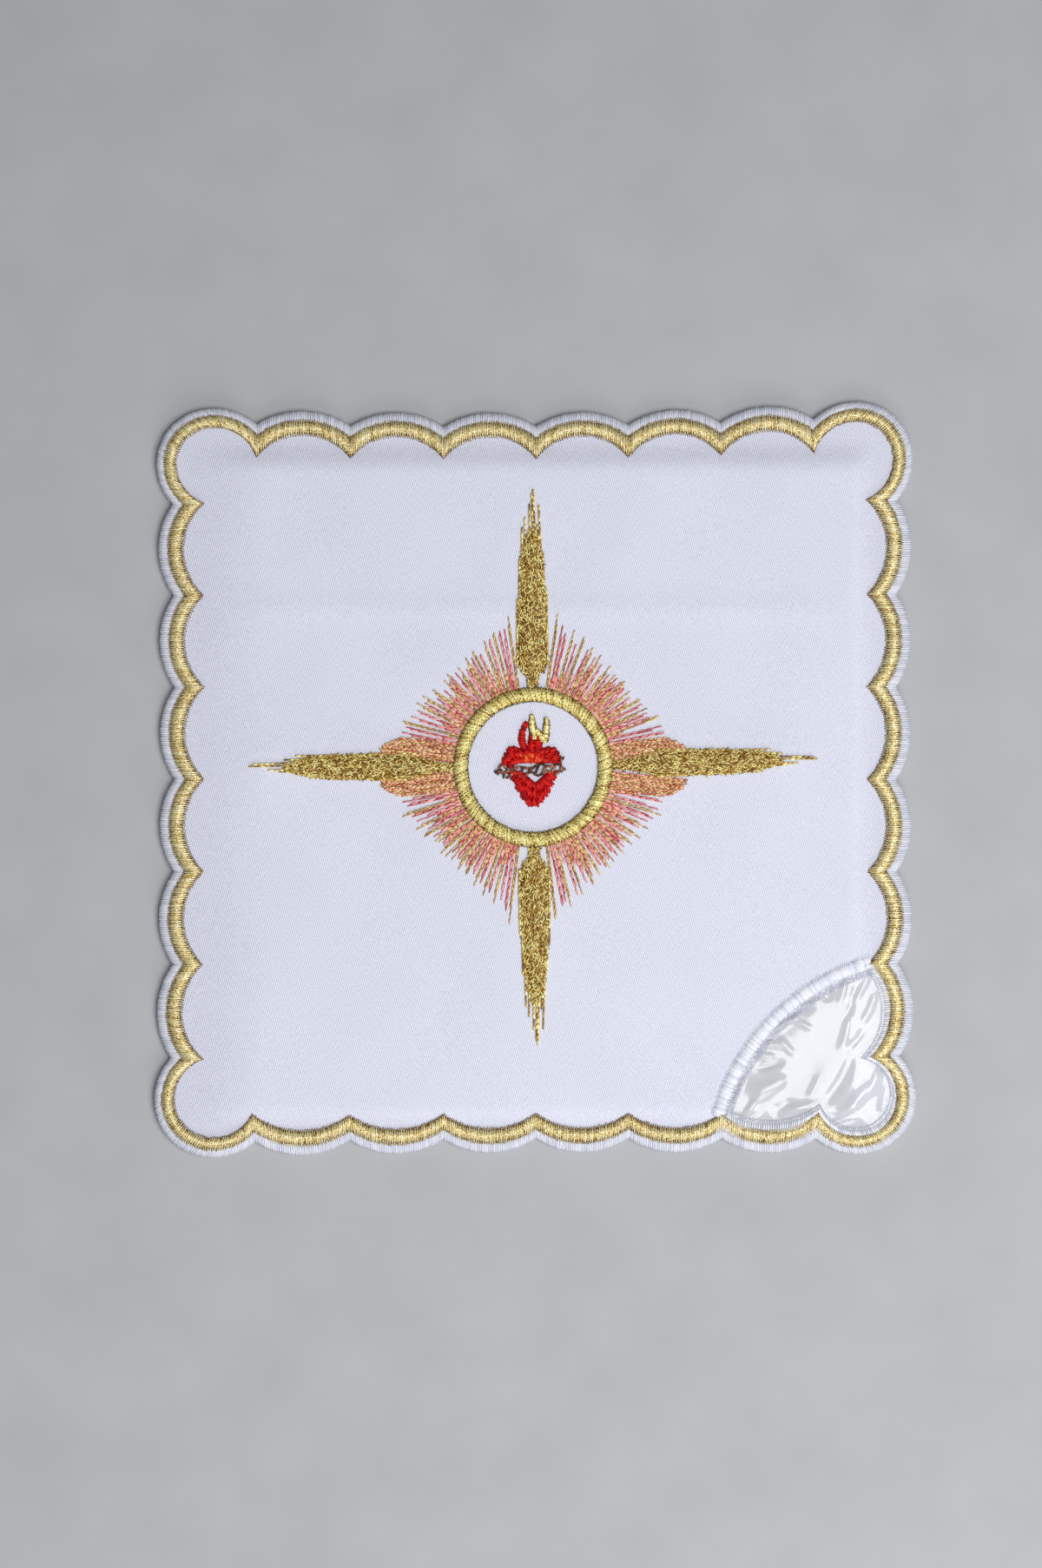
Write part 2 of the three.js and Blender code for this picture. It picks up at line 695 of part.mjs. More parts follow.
function addPiece(name, geometry, finish) {
  const mesh = new THREE.Mesh(geometry, new THREE.MeshStandardMaterial(finish));
  mesh.name = name;
  pall.add(mesh);
}

const face = faceLayer();
addPiece('back_cloth', backCloth(), WHITE_CLOTH);
addPiece('stiffening_plate', stiffeningPlate(), CLEAR_PLATE);
addPiece('face_cloth', face.cloth, WHITE_CLOTH);
addPiece('window_film', face.film, CLEAR_FILM);
addPiece('white_edging', whiteEdging(), WHITE_THREAD);
addPiece('gold_edging', goldEdging(), GOLD_THREAD);
addPiece('window_edging', windowEdging(), WHITE_THREAD);
addPiece('gold_ring', goldRing(), GOLD_THREAD);
LONG_RAYS.forEach((ray) => addPiece(ray.name, longRay(ray), GOLD_THREAD));
THIN_FANS.forEach((fan) => addPiece(fan.name, thinRays(fan), PINK_THREAD));
addPiece('heart_upper', upperHeart(), RED_THREAD);
addPiece('heart_lower', lowerHeart(), RED_THREAD);
addPiece('crown_of_thorns', crownOfThorns(), BROWN_THREAD);
addPiece('gold_flames', goldFlames(), GOLD_THREAD);

export default pall;
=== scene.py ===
# %% [markdown]
# # A chalice pall
# A pall is a stiffened square of cloth that covers a chalice. This one is white twill over a clear plate,
# with a scalloped satin-stitched edge, a ring of gold thread, four long gold rays, fans of thin stitched
# rays, a small heart emblem and a clear window in one corner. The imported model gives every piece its
# place and size, and this script gives it its cloth, thread and film. Lengths are worked out in
# millimetres and turned into metres when a mesh is made.

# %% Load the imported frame
import math

import bpy
import numpy as np
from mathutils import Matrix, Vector
from mathutils.geometry import delaunay_2d_cdt


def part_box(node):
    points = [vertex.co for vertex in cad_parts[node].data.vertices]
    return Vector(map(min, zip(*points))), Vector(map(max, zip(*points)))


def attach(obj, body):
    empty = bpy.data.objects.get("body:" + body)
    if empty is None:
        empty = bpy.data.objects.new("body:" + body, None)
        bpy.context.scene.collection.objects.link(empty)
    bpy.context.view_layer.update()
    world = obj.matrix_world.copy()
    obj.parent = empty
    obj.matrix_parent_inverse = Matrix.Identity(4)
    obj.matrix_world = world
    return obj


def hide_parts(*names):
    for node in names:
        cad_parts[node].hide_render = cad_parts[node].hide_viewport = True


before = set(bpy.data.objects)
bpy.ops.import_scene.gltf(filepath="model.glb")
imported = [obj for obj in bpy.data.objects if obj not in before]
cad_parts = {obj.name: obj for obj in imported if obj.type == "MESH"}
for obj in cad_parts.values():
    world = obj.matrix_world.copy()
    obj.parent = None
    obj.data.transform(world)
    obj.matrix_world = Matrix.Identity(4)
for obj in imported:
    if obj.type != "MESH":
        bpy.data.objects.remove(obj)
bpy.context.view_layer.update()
scene = bpy.context.scene
MM = 0.001
print("nodes in the frame:", len(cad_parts))


# %% Small helpers
def table(columns, *rows):
    """Rows of values under named columns."""
    names = columns.split()
    return [dict(zip(names, row, strict=True)) for row in rows]


def by_name(columns, *rows):
    """A table whose rows are found by what stands in their first column."""
    return {row[0]: entry for row, entry in zip(rows, table(columns, *rows))}


def to_scene(name, data):
    """A new object in the scene, round a camera, a lamp or a mesh."""
    made = bpy.data.objects.new(name, data)
    scene.collection.objects.link(made)
    return made


def heading(angle):
    """The step of length one that leads in a direction."""
    return np.array([math.cos(angle), math.sin(angle)])


print("a table's row:", table("wide high", (2, 1))[0])

# %% [markdown]
# ## Camera, floor and light
# The pall was seen from straight above through a long lens. At this distance a 36 mm frame takes in
# 340 mm of the table along its long side. The table is a plain pale sheet. One big soft lamp stands to
# the lower right, so slopes that face away from it fall into a soft shade, and a second, weaker one
# stands low in front.

# %% Camera
LENS = 100.0
FRAME_LONG_SIDE = 36.0
TABLE_SEEN = 339.6
AIM = (-3.08, -0.96)
CLOTH_LEVEL = 3.8

eye = bpy.data.cameras.new("overhead")
eye.lens = LENS
eye.sensor_width = FRAME_LONG_SIDE
eye.clip_start = 0.01
eye.clip_end = 20.0
camera = to_scene("overhead", eye)
distance = TABLE_SEEN * LENS / FRAME_LONG_SIDE
camera.location = [along * MM for along in (*AIM, CLOTH_LEVEL + distance)]
scene.camera = camera
print("camera height in mm:", round(CLOTH_LEVEL + distance))


# %% Node helpers
def put(tree, kind, inputs=None, **settings):
    """Adds a node, with a value or a wire for each input that is named or numbered."""
    made = tree.nodes.new(kind)
    for name, value in settings.items():
        setattr(made, name, value)
    for key, value in (inputs or {}).items():
        if isinstance(value, bpy.types.NodeSocket):
            tree.links.new(value, made.inputs[key])
        else:
            made.inputs[key].default_value = value
    return made


def sum_of(tree, operation, first, second=0.0, third=0.0):
    """One step of arithmetic on single values."""
    inputs = {0: first, 1: second, 2: third}
    return put(tree, "ShaderNodeMath", inputs, operation=operation).outputs[0]


# %% Finish helpers
def paint(red, green, blue):
    """A colour as it looks on a screen, from 0 to 255, as the amounts of light that a shader takes."""
    shares = [value / 255 for value in (red, green, blue)]
    return [s / 12.92 if s <= 0.04045 else ((s + 0.055) / 1.055) ** 2.4 for s in shares] + [1.0]


def new_finish(name, **constants):
    """A material with one principled shader, and the values that are the same all over it."""
    finish = bpy.data.materials.new(name)
    finish.use_nodes = True
    tree = finish.node_tree
    tree.nodes.clear()
    shader = put(tree, "ShaderNodeBsdfPrincipled")
    for socket, value in constants.items():
        shader.inputs[socket.replace("_", " ")].default_value = value
    put(tree, "ShaderNodeOutputMaterial", {"Surface": shader.outputs["BSDF"]})
    return finish, tree, shader


def in_millimetres(tree):
    """Where a point of the piece lies, in millimetres."""
    where = put(tree, "ShaderNodeTexCoord").outputs["Object"]
    scaled = put(tree, "ShaderNodeMapping", {"Vector": where, "Scale": (1 / MM,) * 3})
    return scaled.outputs[0]


def mottle(tree, spot, per_mm, detail=2.0, roughness=0.5):
    """Uneven patches, from 0 to 1, so many to the millimetre."""
    inputs = {"Vector": spot, "Scale": per_mm, "Detail": detail, "Roughness": roughness}
    return put(tree, "ShaderNodeTexNoise", inputs).outputs["Fac"]


def colour_by(tree, shader, value, *stops):
    """Colours the surface by a value: each stop is the value and its red, green and blue."""
    node = put(tree, "ShaderNodeValToRGB", {"Fac": value})
    elements = node.color_ramp.elements
    while len(elements) < len(stops):
        elements.new(1.0)
    for element, (position, *colour) in zip(elements, stops):
        element.position = position
        element.color = paint(*colour)
    tree.links.new(node.outputs["Color"], shader.inputs["Base Color"])


def bump(tree, shader, height, deep_mm):
    """Catches the light as if the surface were that deep."""
    inputs = {"Height": height, "Distance": deep_mm * MM, "Strength": 1.0}
    tree.links.new(put(tree, "ShaderNodeBump", inputs).outputs[0], shader.inputs["Normal"])


print("mid grey as light:", [round(share, 3) for share in paint(128, 128, 128)])

# %% Floor
TABLE_TONES = [(0.3, 178, 179, 182), (0.7, 184, 185, 188)]
table_finish, tree, shader = new_finish("pale_table", Roughness=0.9)
grain = mottle(tree, in_millimetres(tree), 0.05, detail=4.0)
colour_by(tree, shader, grain, *TABLE_TONES)

REACH = 3.0
sheet = bpy.data.meshes.new("table")
corners = [(-REACH, -REACH, 0), (REACH, -REACH, 0), (REACH, REACH, 0), (-REACH, REACH, 0)]
sheet.from_pydata(corners, [], [(0, 1, 2, 3)])
sheet.materials.append(table_finish)
table_top = to_scene("table", sheet)
print("floor:", table_top.name)


# %% Light
def soft_lamp(name, place, wide, watts):
    """A square lamp that faces the middle of the pall and isn't seen itself."""
    light = bpy.data.lights.new(name, "AREA")
    light.shape = "SQUARE"
    light.size = wide
    light.energy = watts
    lamp = to_scene(name, light)
    lamp.location = place
    lamp.rotation_euler = (-Vector(place)).to_track_quat("-Z", "Y").to_euler()
    lamp.visible_camera = False


soft_lamp("main_lamp", place=(0.27, -0.15, 0.80), wide=0.52, watts=5.45)
soft_lamp("front_lamp", place=(0.22, -0.72, 0.42), wide=0.40, watts=2.15)

ROOM_COLOUR = (0.93, 0.95, 1.0, 1.0)
ROOM_STRENGTH = 0.21
surroundings = bpy.data.worlds.new("dim_room")
scene.world = surroundings
surroundings.use_nodes = True
background = surroundings.node_tree.nodes["Background"]
background.inputs["Color"].default_value = ROOM_COLOUR
background.inputs["Strength"].default_value = ROOM_STRENGTH
scene.view_settings.view_transform = "Standard"
print("lamps:", [lamp.name for lamp in bpy.data.lights])

# %% [markdown]
# ## The scalloped outline
# The edge is a row of six arcs on each side and a rounder lobe at each corner. Every line of the edge,
# from the outer rim to the inside of the gold, is the same row of arcs drawn a little further in. A real
# pall is never quite square, so each side has its own small shift, hollow and lean. The lines match
# point for point, which lets a stitch run straight from one line to another.

# %% Outline
PITCH = 20.0
SCALLOPS = 6
SCALLOP = {"radius": 17.7, "out": 63.8}
CORNER = {"radius": 12.95, "out": 68.6, "band_share": 0.78}
OUT_OF_SQUARE_AT = 78.4
SIDES = by_name(
    "side out drawn_in lean tighten",
    ("bottom", 0.35, 0.8, -0.39, 0.1),
    ("right", 0.8, 0.9, -0.39, 0.7),
    ("top", 0.1, 1.9, 0.75, 1.0),
    ("left", 1.3, 1.1, -0.25, 0.7),
)


def turned(point, quarters):
    """A point turned about the middle by so many quarter turns."""
    x, y = point
    for _ in range(quarters):
        x, y = -y, x
    return np.array([x, y], float)


def outline_lobes():
    """Each lobe's middle, the way inwards, its radius, its share of an inset and how it tightens."""
    lobes = []
    for quarter, side in enumerate(SIDES.values()):
        inwards = turned((0, 1), quarter)
        for i in range(SCALLOPS):
            along = (i - (SCALLOPS - 1) / 2) * PITCH
            centre = turned((along, -SCALLOP["out"]), quarter)
            lobes.append((centre, inwards, SCALLOP["radius"], 1.0, side["tighten"]))
        centre = turned((CORNER["out"], -CORNER["out"]), quarter)
        lobes.append((centre, inwards, CORNER["radius"], CORNER["band_share"], 1.0))
    return lobes


LOBES = outline_lobes()
print("lobes round the edge:", len(LOBES))


# %% Out of square
def shift_out(side, along):
    """How far a side lies outside the true square, at a place from -1 to 1 along it."""
    return side["out"] - side["drawn_in"] * (1 - along**2) + side["lean"] * along


def lie(points):
    """Moves the points of a true square to where the real, slightly uneven square has them."""
    x, y = points[:, 0], points[:, 1]
    u, v = x / OUT_OF_SQUARE_AT, y / OUT_OF_SQUARE_AT
    across = np.where(x > 0, shift_out(SIDES["right"], v), -shift_out(SIDES["left"], v))
    upwards = np.where(y > 0, shift_out(SIDES["top"], u), -shift_out(SIDES["bottom"], u))
    return np.column_stack([x + u**2 * across, y + v**2 * upwards])


corner = np.full((1, 2), OUT_OF_SQUARE_AT)
print("the top right corner moves by mm:", (lie(corner) - corner).round(2))


# %% Scalloped line
def notch_between(a, b):
    """The outer point where two neighbouring circles meet."""
    (centre_a, radius_a), (centre_b, radius_b) = a, b
    gap = centre_b - centre_a
    apart = np.hypot(*gap)
    ux, uy = gap / apart
    along = (apart**2 + radius_a**2 - radius_b**2) / (2 * apart)
    out = math.sqrt(radius_a**2 - along**2)
    return centre_a + along * np.array([ux, uy]) + out * np.array([uy, -ux])


def scalloped_line(inset, steps):
    """The line at an inset from the outline, with this many points on each arc."""
    circles = []
    for centre, inwards, radius, share, tighten in LOBES:
        band = inset * share
        circles.append((centre + inwards * band * (1 - tighten), radius - band * tighten))
    points = []
    for i, (centre, radius) in enumerate(circles):
        before = notch_between(circles[i - 1], circles[i]) - centre
        after = notch_between(circles[i], circles[(i + 1) % len(circles)]) - centre
        start = math.atan2(before[1], before[0])
        sweep = (math.atan2(after[1], after[0]) - start) % (2 * math.pi)
        angles = start + sweep * np.arange(steps) / steps
        points.append(centre + radius * np.column_stack([np.cos(angles), np.sin(angles)]))
    return lie(np.concatenate(points))


FINE_STEPS = 64
ROUGH_STEPS = 10
rough_edge = scalloped_line(0, ROUGH_STEPS)
MIDDLE = (rough_edge.min(axis=0) + rough_edge.max(axis=0)) / 2


def edge_line(inset, steps=FINE_STEPS):
    """The line at an inset, about the pall's middle."""
    return scalloped_line(inset, steps) - MIDDLE


def size_of(line):
    """How wide and how high a line is."""
    return line.max(axis=0) - line.min(axis=0)


print("outline in mm:", size_of(edge_line(0)).round(1))

# %% [markdown]
# ## The lie of the face
# The face cloth lies flat over the plate and drops to the edge all round it: steeply along the top,
# where the plate ends far from the edge, and very gently on the left, where it reaches it. Three shallow
# creases run across it, where it was folded before it was sewn. A function gives the height at any
# point, and everything sewn on the face asks it where to sit.

# %% Face height
plate_low, plate_high = (Vector(corner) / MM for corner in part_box("stiffening_plate"))
face_low = Vector(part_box("face_cloth")[0]) / MM
CLOTH_THICK = 1.0
MARGIN_TOP = face_low.z + CLOTH_THICK
LIFT = 1.5
SLOPES = by_name(
    "side from to",
    ("left", -12.0, 7.0),
    ("right", -0.6, 4.3),
    ("bottom", -0.6, 4.3),
    ("top", -1.4, 4.8),
)
FOLD_EASE = 10.0
FOLDS = table(
    "y from_x to_x wide high",
    (36.8, -70, 69, 2.6, 0.25),
    (5.0, -66, -17, 5.5, 0.4),
    (5.5, 16, 64, 5.0, 0.35),
)
SLACK = table(
    "wave_x wave_y high start",
    (41.0, 67.0, 0.05, 0.0),
    (-29.0, 53.0, 0.03, 0.0),
    (23.0, -31.0, 0.015, 0.0),
)


def eased(past, side):
    """A soft fall from 1 to 0 over one side of the plate, by how far a point lies past it."""
    slope = SLOPES[side]
    to_go = np.clip((slope["to"] - past) / (slope["to"] - slope["from"]), 0, 1)
    return to_go**2 * (3 - 2 * to_go)


def lift_share(x, y):
    """How far the plate lifts the cloth over it: 1 on the plate and 0 out on the edge."""
    across = eased(plate_low.x - x, "left") * eased(x - plate_high.x, "right")
    return across * eased(plate_low.y - y, "bottom") * eased(y - plate_high.y, "top")


def with_waves(risen, rows, x, y):
    """A surface with long low waves added, each with its own direction, height and start."""
    for row in rows:
        phase = 2 * np.pi * (x / row["wave_x"] + y / row["wave_y"])
        risen = risen + row["high"] * np.sin(phase + row["start"])
    return risen


def face_top(x, y):
    """The height of the cloth's face at any place."""
    x, y = np.asarray(x, float), np.asarray(y, float)
    risen = np.zeros(np.broadcast(x, y).shape)
    for fold in FOLDS:
        run = np.minimum(x - fold["from_x"], fold["to_x"] - x) / FOLD_EASE
        ridge = np.exp(-(((y - fold["y"]) / fold["wide"]) ** 2))
        risen = risen + np.clip(run, 0, 1) * fold["high"] * ridge
    return MARGIN_TOP + lift_share(x, y) * (LIFT + with_waves(risen, SLACK, x, y))


print("face height over the plate in mm:", face_top(0, -30).round(2))

# %% [markdown]
# ## White twill
# Twill is woven so that each thread floats over its neighbours in steps, which draws fine slanting lines
# over the cloth, here about two to the millimetre and leaning steeply to the right. The finish makes those
# lines from a wave across their direction, broken up by a second wave where the threads cross, and uses
# them for the relief and for painted shade in the grooves. Nothing is printed, so the cloth's own colour
# hardly changes. Out past the plate the cloth lies lower with nothing behind it, and the finish reads its
# own height to paint it a little darker there, a painted shade.

# %% Twill finish
TWILL_PERIOD = 0.436
TWILL_LEAN = math.radians(74)
CROSS_PERIOD = 0.52
CROSS_DIRECTION = (0.5, 0.866, 0)
CROSS_SHARE = 0.45
# The lines' share is painted shade in the grooves; the yarn and patch shares are the cloth's own uneven tone.
TONE_SHARES = {"yarn": 0.85, "lines": 0.4, "patch": 0.12}
MARGIN_PAINTED_SHADE = 0.1
PAINTED_SHADE_FADES_AT = 0.8
TWILL_DEEP = 0.06


def wave_along(tree, spot, direction, period):
    """A wave from 0 to 1 that runs in one direction over the cloth."""
    step = tuple(2 * math.pi / period * part for part in direction)
    inputs = {0: spot, 1: step}
    phase = put(tree, "ShaderNodeVectorMath", inputs, operation="DOT_PRODUCT").outputs["Value"]
    return sum_of(tree, "MULTIPLY_ADD", sum_of(tree, "SINE", phase), 0.5, 0.5)


def twill_finish(name, groove_painted_shade, thread):
    """Twill in two colours: a darker one painted as shade in the grooves, and one for the threads between
    them.
    """
    finish, tree, shader = new_finish(name, Roughness=0.72, Sheen_Weight=0.25, Sheen_Roughness=0.4)
    spot = in_millimetres(tree)
    along = (math.cos(TWILL_LEAN), math.sin(TWILL_LEAN), 0)
    across = (along[1], -along[0], 0)
    lines = wave_along(tree, spot, across, TWILL_PERIOD)
    crossing = wave_along(tree, spot, CROSS_DIRECTION, CROSS_PERIOD)
    breaks = sum_of(tree, "MULTIPLY_ADD", crossing, CROSS_SHARE, 1 - CROSS_SHARE)
    broken = sum_of(tree, "MULTIPLY", lines, breaks)
    yarn = mottle(tree, spot, 2.6, detail=3.0, roughness=0.65)
    patch = mottle(tree, spot, 0.05)
    # Painted shade: the twill lines darken the grooves.
    tone = sum_of(tree, "MULTIPLY", broken, TONE_SHARES["lines"])
    tone = sum_of(tree, "MULTIPLY_ADD", yarn, TONE_SHARES["yarn"], tone)
    tone = sum_of(tree, "MULTIPLY_ADD", patch, TONE_SHARES["patch"], tone)
    # Painted shade: the cloth is made darker where it lies low, out past the plate.
    height = put(tree, "ShaderNodeSeparateXYZ", {"Vector": spot}).outputs["Z"]
    painted_shade_range = {0: height, 1: MARGIN_TOP, 2: MARGIN_TOP + LIFT * PAINTED_SHADE_FADES_AT, 3: 1.0, 4: 0.0}
    painted_shade_share = put(tree, "ShaderNodeMapRange", painted_shade_range).outputs[0]
    tone = sum_of(tree, "MULTIPLY_ADD", painted_shade_share, -MARGIN_PAINTED_SHADE, tone)
    colour_by(tree, shader, tone, (0.25, *groove_painted_shade), (0.75, *thread))
    bump(tree, shader, broken, TWILL_DEEP)
    return finish


white_twill = twill_finish("twill_white", groove_painted_shade=(190, 192, 211), thread=(234, 236, 250))
print("made", white_twill.name)

# %% [markdown]
# ## Cloth sheets
# A cloth cut to a scalloped line is a flat shape with hundreds of small curves at its rim, so its mesh is
# a net of points inside the line joined by triangles. Each point is then dropped to the height of the
# surface that the cloth lies on. A second layer just under it and a wall round the rim give the sheet its
# thickness.


# %% Net over a shape
ROW_STEP = 0.87
CLEAR_OF_RIM = 0.5
POINTS_AT_ONCE = 2000
SAME_PLACE = 1e-7


def inside(points, loop):
    """Which points lie inside a closed line."""
    x, y = points[:, 0][:, None], points[:, 1][:, None]
    ax, ay = loop[:, 0], loop[:, 1]
    bx, by = np.roll(ax, -1), np.roll(ay, -1)
    spans = (ay > y) != (by > y)
    slope = (bx - ax) * (y - ay) / np.where(by == ay, 1e-9, by - ay) + ax
    return (np.sum(spans & (x < slope), axis=1) % 2) == 1


def net_over(loop, spacing):
    """Points and triangles that fill a closed line."""
    low, high = loop.min(axis=0), loop.max(axis=0)
    rows = np.arange(low[1] + spacing / 2, high[1], spacing * ROW_STEP)
    grid = [
        (x, y)
        for i, y in enumerate(rows)
        for x in np.arange(low[0] + (i % 2) * spacing / 2, high[0], spacing)
    ]
    grid = np.array(grid)
    grid = grid[inside(grid, loop)]
    kept = []
    for block in np.array_split(grid, max(1, len(grid) // POINTS_AT_ONCE)):
        to_rim = np.hypot(*(block[:, None] - loop[None]).transpose(2, 0, 1)).min(axis=1)
        kept.append(block[to_rim > spacing * CLEAR_OF_RIM])
    points = np.concatenate([loop, *kept])
    rim = [(i, (i + 1) % len(loop)) for i in range(len(loop))]
    keep_inside = 1
    result = delaunay_2d_cdt([Vector(p) for p in points], rim, [], keep_inside, SAME_PLACE)
    net, faces = np.array([tuple(p) for p in result[0]]), [tuple(f) for f in result[2]]
    return net, faces


def flat_area(points, faces):
    """The area of a flat net, in square millimetres."""
    triangles = points[np.array(faces)]
    a, b = triangles[:, 1] - triangles[:, 0], triangles[:, 2] - triangles[:, 0]
    return float(np.abs(a[:, 0] * b[:, 1] - a[:, 1] * b[:, 0]).sum() / 2)


square = np.array([(0, 0), (4, 0), (4, 4), (0, 4)], float)
print("a 4 mm square as a net, in square mm:", round(flat_area(*net_over(square, 1.0)), 3))


# %% Pieces and sheets
def new_piece(name, points, faces, finish, edges=()):
    """A mesh object at the origin, from points in millimetres."""
    mesh = bpy.data.meshes.new(name)
    mesh.from_pydata([tuple(p) for p in np.asarray(points, float) * MM], list(edges), faces)
    mesh.materials.append(finish)
    mesh.polygons.foreach_set("use_smooth", [True] * len(mesh.polygons))
    mesh.update()
    return to_scene(name, mesh)


def cloth_sheet(name, loop, spacing, top_at, thick, finish):
    """A thin sheet under a height function, cut to a closed line, and its cut area in square mm."""
    net, faces = net_over(loop, spacing)
    top = top_at(net[:, 0], net[:, 1])
    count = len(net)
    points = np.concatenate([np.column_stack([net, top]), np.column_stack([net, top - thick])])
    under = [tuple(count + i for i in reversed(face)) for face in faces]
    rim_edges = {}
    for face in faces:
        for here, after in zip(face, face[1:] + face[:1]):
            rim_edges[(here, after)] = (after, here) not in rim_edges
            rim_edges.pop((after, here), None)
    wall = [(after, here, count + here, count + after) for here, after in rim_edges if rim_edges[here, after]]
    piece = new_piece(name, points, faces + under + wall, finish)
    return piece, flat_area(net, faces)


# %% Face cloth and back cloth
CLOTH_INSET = 2.0
WINDOW = np.array([86.6, -86.4])
WINDOW_SEAM = 48.7
CLEAR_OF_SEAM = 0.15
SHEET_THICK = 0.5
NET = 1.5
RIM_STEPS = 14


def arc_through(loop, centre, radius, keep_outside):
    """Cuts a closed line with a circle, and keeps the side of it that lies outside or inside."""
    away = np.hypot(*(loop - centre).T) - radius
    kept = away > 0 if keep_outside else away < 0
    start = next(i for i in range(len(loop)) if kept[i] and not kept[i - 1])
    run = [loop[(start + i) % len(loop)] for i in range(len(loop)) if kept[(start + i) % len(loop)]]

    def meeting(i, j):
        """Where the circle crosses the line between two of its points."""
        share = away[i] / (away[i] - away[j])
        return loop[i] + share * (loop[j] - loop[i])

    first = meeting(start - 1, start)
    end = (start + len(run) - 1) % len(loop)
    last = meeting(end, (end + 1) % len(loop))
    from_angle = math.atan2(*(last - centre)[::-1])
    to_angle = math.atan2(*(first - centre)[::-1])
    sweep = (to_angle - from_angle + math.pi) % (2 * math.pi) - math.pi
    steps = max(4, int(abs(sweep) * radius / NET))
    angles = from_angle + sweep * np.arange(1, steps) / steps
    arc = centre + radius * np.column_stack([np.cos(angles), np.sin(angles)])
    return np.array([first, *run, last, *arc])


cloth_line = edge_line(CLOTH_INSET, RIM_STEPS)
face_line = arc_through(cloth_line, WINDOW, WINDOW_SEAM + CLEAR_OF_SEAM, keep_outside=True)
face_cloth, face_area = cloth_sheet("face_cloth_twill", face_line, NET, face_top, SHEET_THICK, white_twill)

BACK_TOP = 0.9
BACK_THICK = 0.6
BACK_NET = 3.0


def back_top(x, y):
    """The back cloth is flat, as the stiff plate above it keeps it."""
    return np.full(np.shape(x), BACK_TOP)


back_cloth, back_area = cloth_sheet(
    "back_cloth_twill", cloth_line, BACK_NET, back_top, BACK_THICK, white_twill
)
print("face cloth, square mm:", round(face_area), "triangles:", len(face_cloth.data.polygons))

# %% [markdown]
# ## The clear plate and the window
# A pall is kept flat by a stiff sheet between its two cloths. Here it is clear plastic, and it shows
# only in the corner where the face cloth is cut away and clear film is sewn in. The plate is a plain
# flat square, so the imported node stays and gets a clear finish. The film is thin and soft, so it puckers
# where the stitches pull at it and stretches tight over the plate's corner. Its mirror-like patches come
# from those small slopes, so they are modelled and not painted.

# %% Clear finishes
FILM_TONES = [(0.35, 250, 252, 254), (0.65, 255, 255, 255)]
PLATE_TONES = [(0.3, 232, 238, 242), (0.7, 244, 248, 250)]

clear_film, tree, shader = new_finish(
    "window_film_clear", Roughness=0.12, IOR=1.9, Alpha=0.3, Specular_IOR_Level=0.5
)
spot = in_millimetres(tree)
colour_by(tree, shader, mottle(tree, spot, 0.25), *FILM_TONES)
bump(tree, shader, mottle(tree, spot, 0.16, detail=0.0), 0.1)

clear_plate, tree, shader = new_finish("plate_clear", Roughness=0.2, IOR=1.5, Alpha=0.04)
spot = in_millimetres(tree)
colour_by(tree, shader, mottle(tree, spot, 0.1), *PLATE_TONES)
bump(tree, shader, mottle(tree, spot, 0.3), 0.02)
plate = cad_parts["stiffening_plate"]
plate.data.materials.clear()
plate.data.materials.append(clear_plate)
print("clear finishes:", clear_film.name, clear_plate.name)

# %% Creases of the film
CREASES = table(
    "x y turn long wide high",
    (52.4, -54.0, 38, 5.5, 0.7, 0.5),
    (55.0, -52.2, 30, 6.0, 0.6, 0.45),
    (57.0, -50.2, 22, 6.5, 0.8, -0.5),
    (59.4, -48.6, 20, 5.0, 0.5, 0.4),
    (58.0, -53.0, -28, 4.0, 0.6, 0.45),
    (51.6, -57.4, 4, 5.0, 0.9, 0.55),
    (49.8, -59.8, -8, 4.0, 0.7, 0.55),
    (51.0, -62.0, 16, 5.5, 0.7, -0.55),
    (54.4, -57.8, -50, 4.5, 0.7, 0.45),
    (41.4, -67.5, 68, 9.0, 0.45, 0.24),
    (43.4, -69.0, 62, 9.0, 0.5, 0.26),
    (45.4, -71.0, 58, 7.0, 0.6, -0.28),
    (47.4, -70.2, 54, 7.0, 0.6, 0.28),
    (46.6, -74.2, 30, 6.0, 0.6, 0.25),
    (50.8, -66.6, 24, 8.0, 1.6, 0.7),
    (53.6, -71.0, 30, 5.0, 1.3, -0.4),
    (58.5, -70.8, 12, 7.0, 0.9, 0.3),
    (60.6, -66.6, 64, 4.5, 0.7, 0.2),
    (67.0, -44.5, 80, 8.0, 0.6, 0.36),
    (68.8, -48.0, 74, 8.0, 0.7, -0.36),
    (70.8, -45.5, 60, 7.0, 0.6, 0.32),
    (72.6, -49.6, 66, 7.0, 0.7, 0.36),
    (67.4, -54.6, 78, 7.0, 0.7, 0.34),
    (69.8, -56.2, 52, 5.0, 0.7, -0.32),
    (66.4, -65.0, 60, 13.0, 1.4, -0.5),
    (69.6, -69.6, 48, 9.0, 1.2, 0.5),
    (73.6, -65.6, 70, 6.0, 0.9, 0.36),
    (75.6, -69.5, 80, 5.0, 0.8, -0.3),
    (66.8, -74.0, 14, 6.0, 0.9, 0.34),
    (63.4, -46.6, 70, 3.0, 0.9, -0.35),
)
BROAD = table(
    "wave_x wave_y high start",
    (19.0, 27.0, 0.10, 19.0),
    (-13.0, 17.0, 0.07, -13.0),
    (8.3, 11.0, 0.022, 8.3),
)
print("creases:", len(CREASES), "broad waves:", len(BROAD))

# %% Film
FILM_NET = 0.5
FILM_THICK = 0.15
TENT_WIDE = 9.0
FILM_EASE = 1.5
CREASE_BOW = 0.02


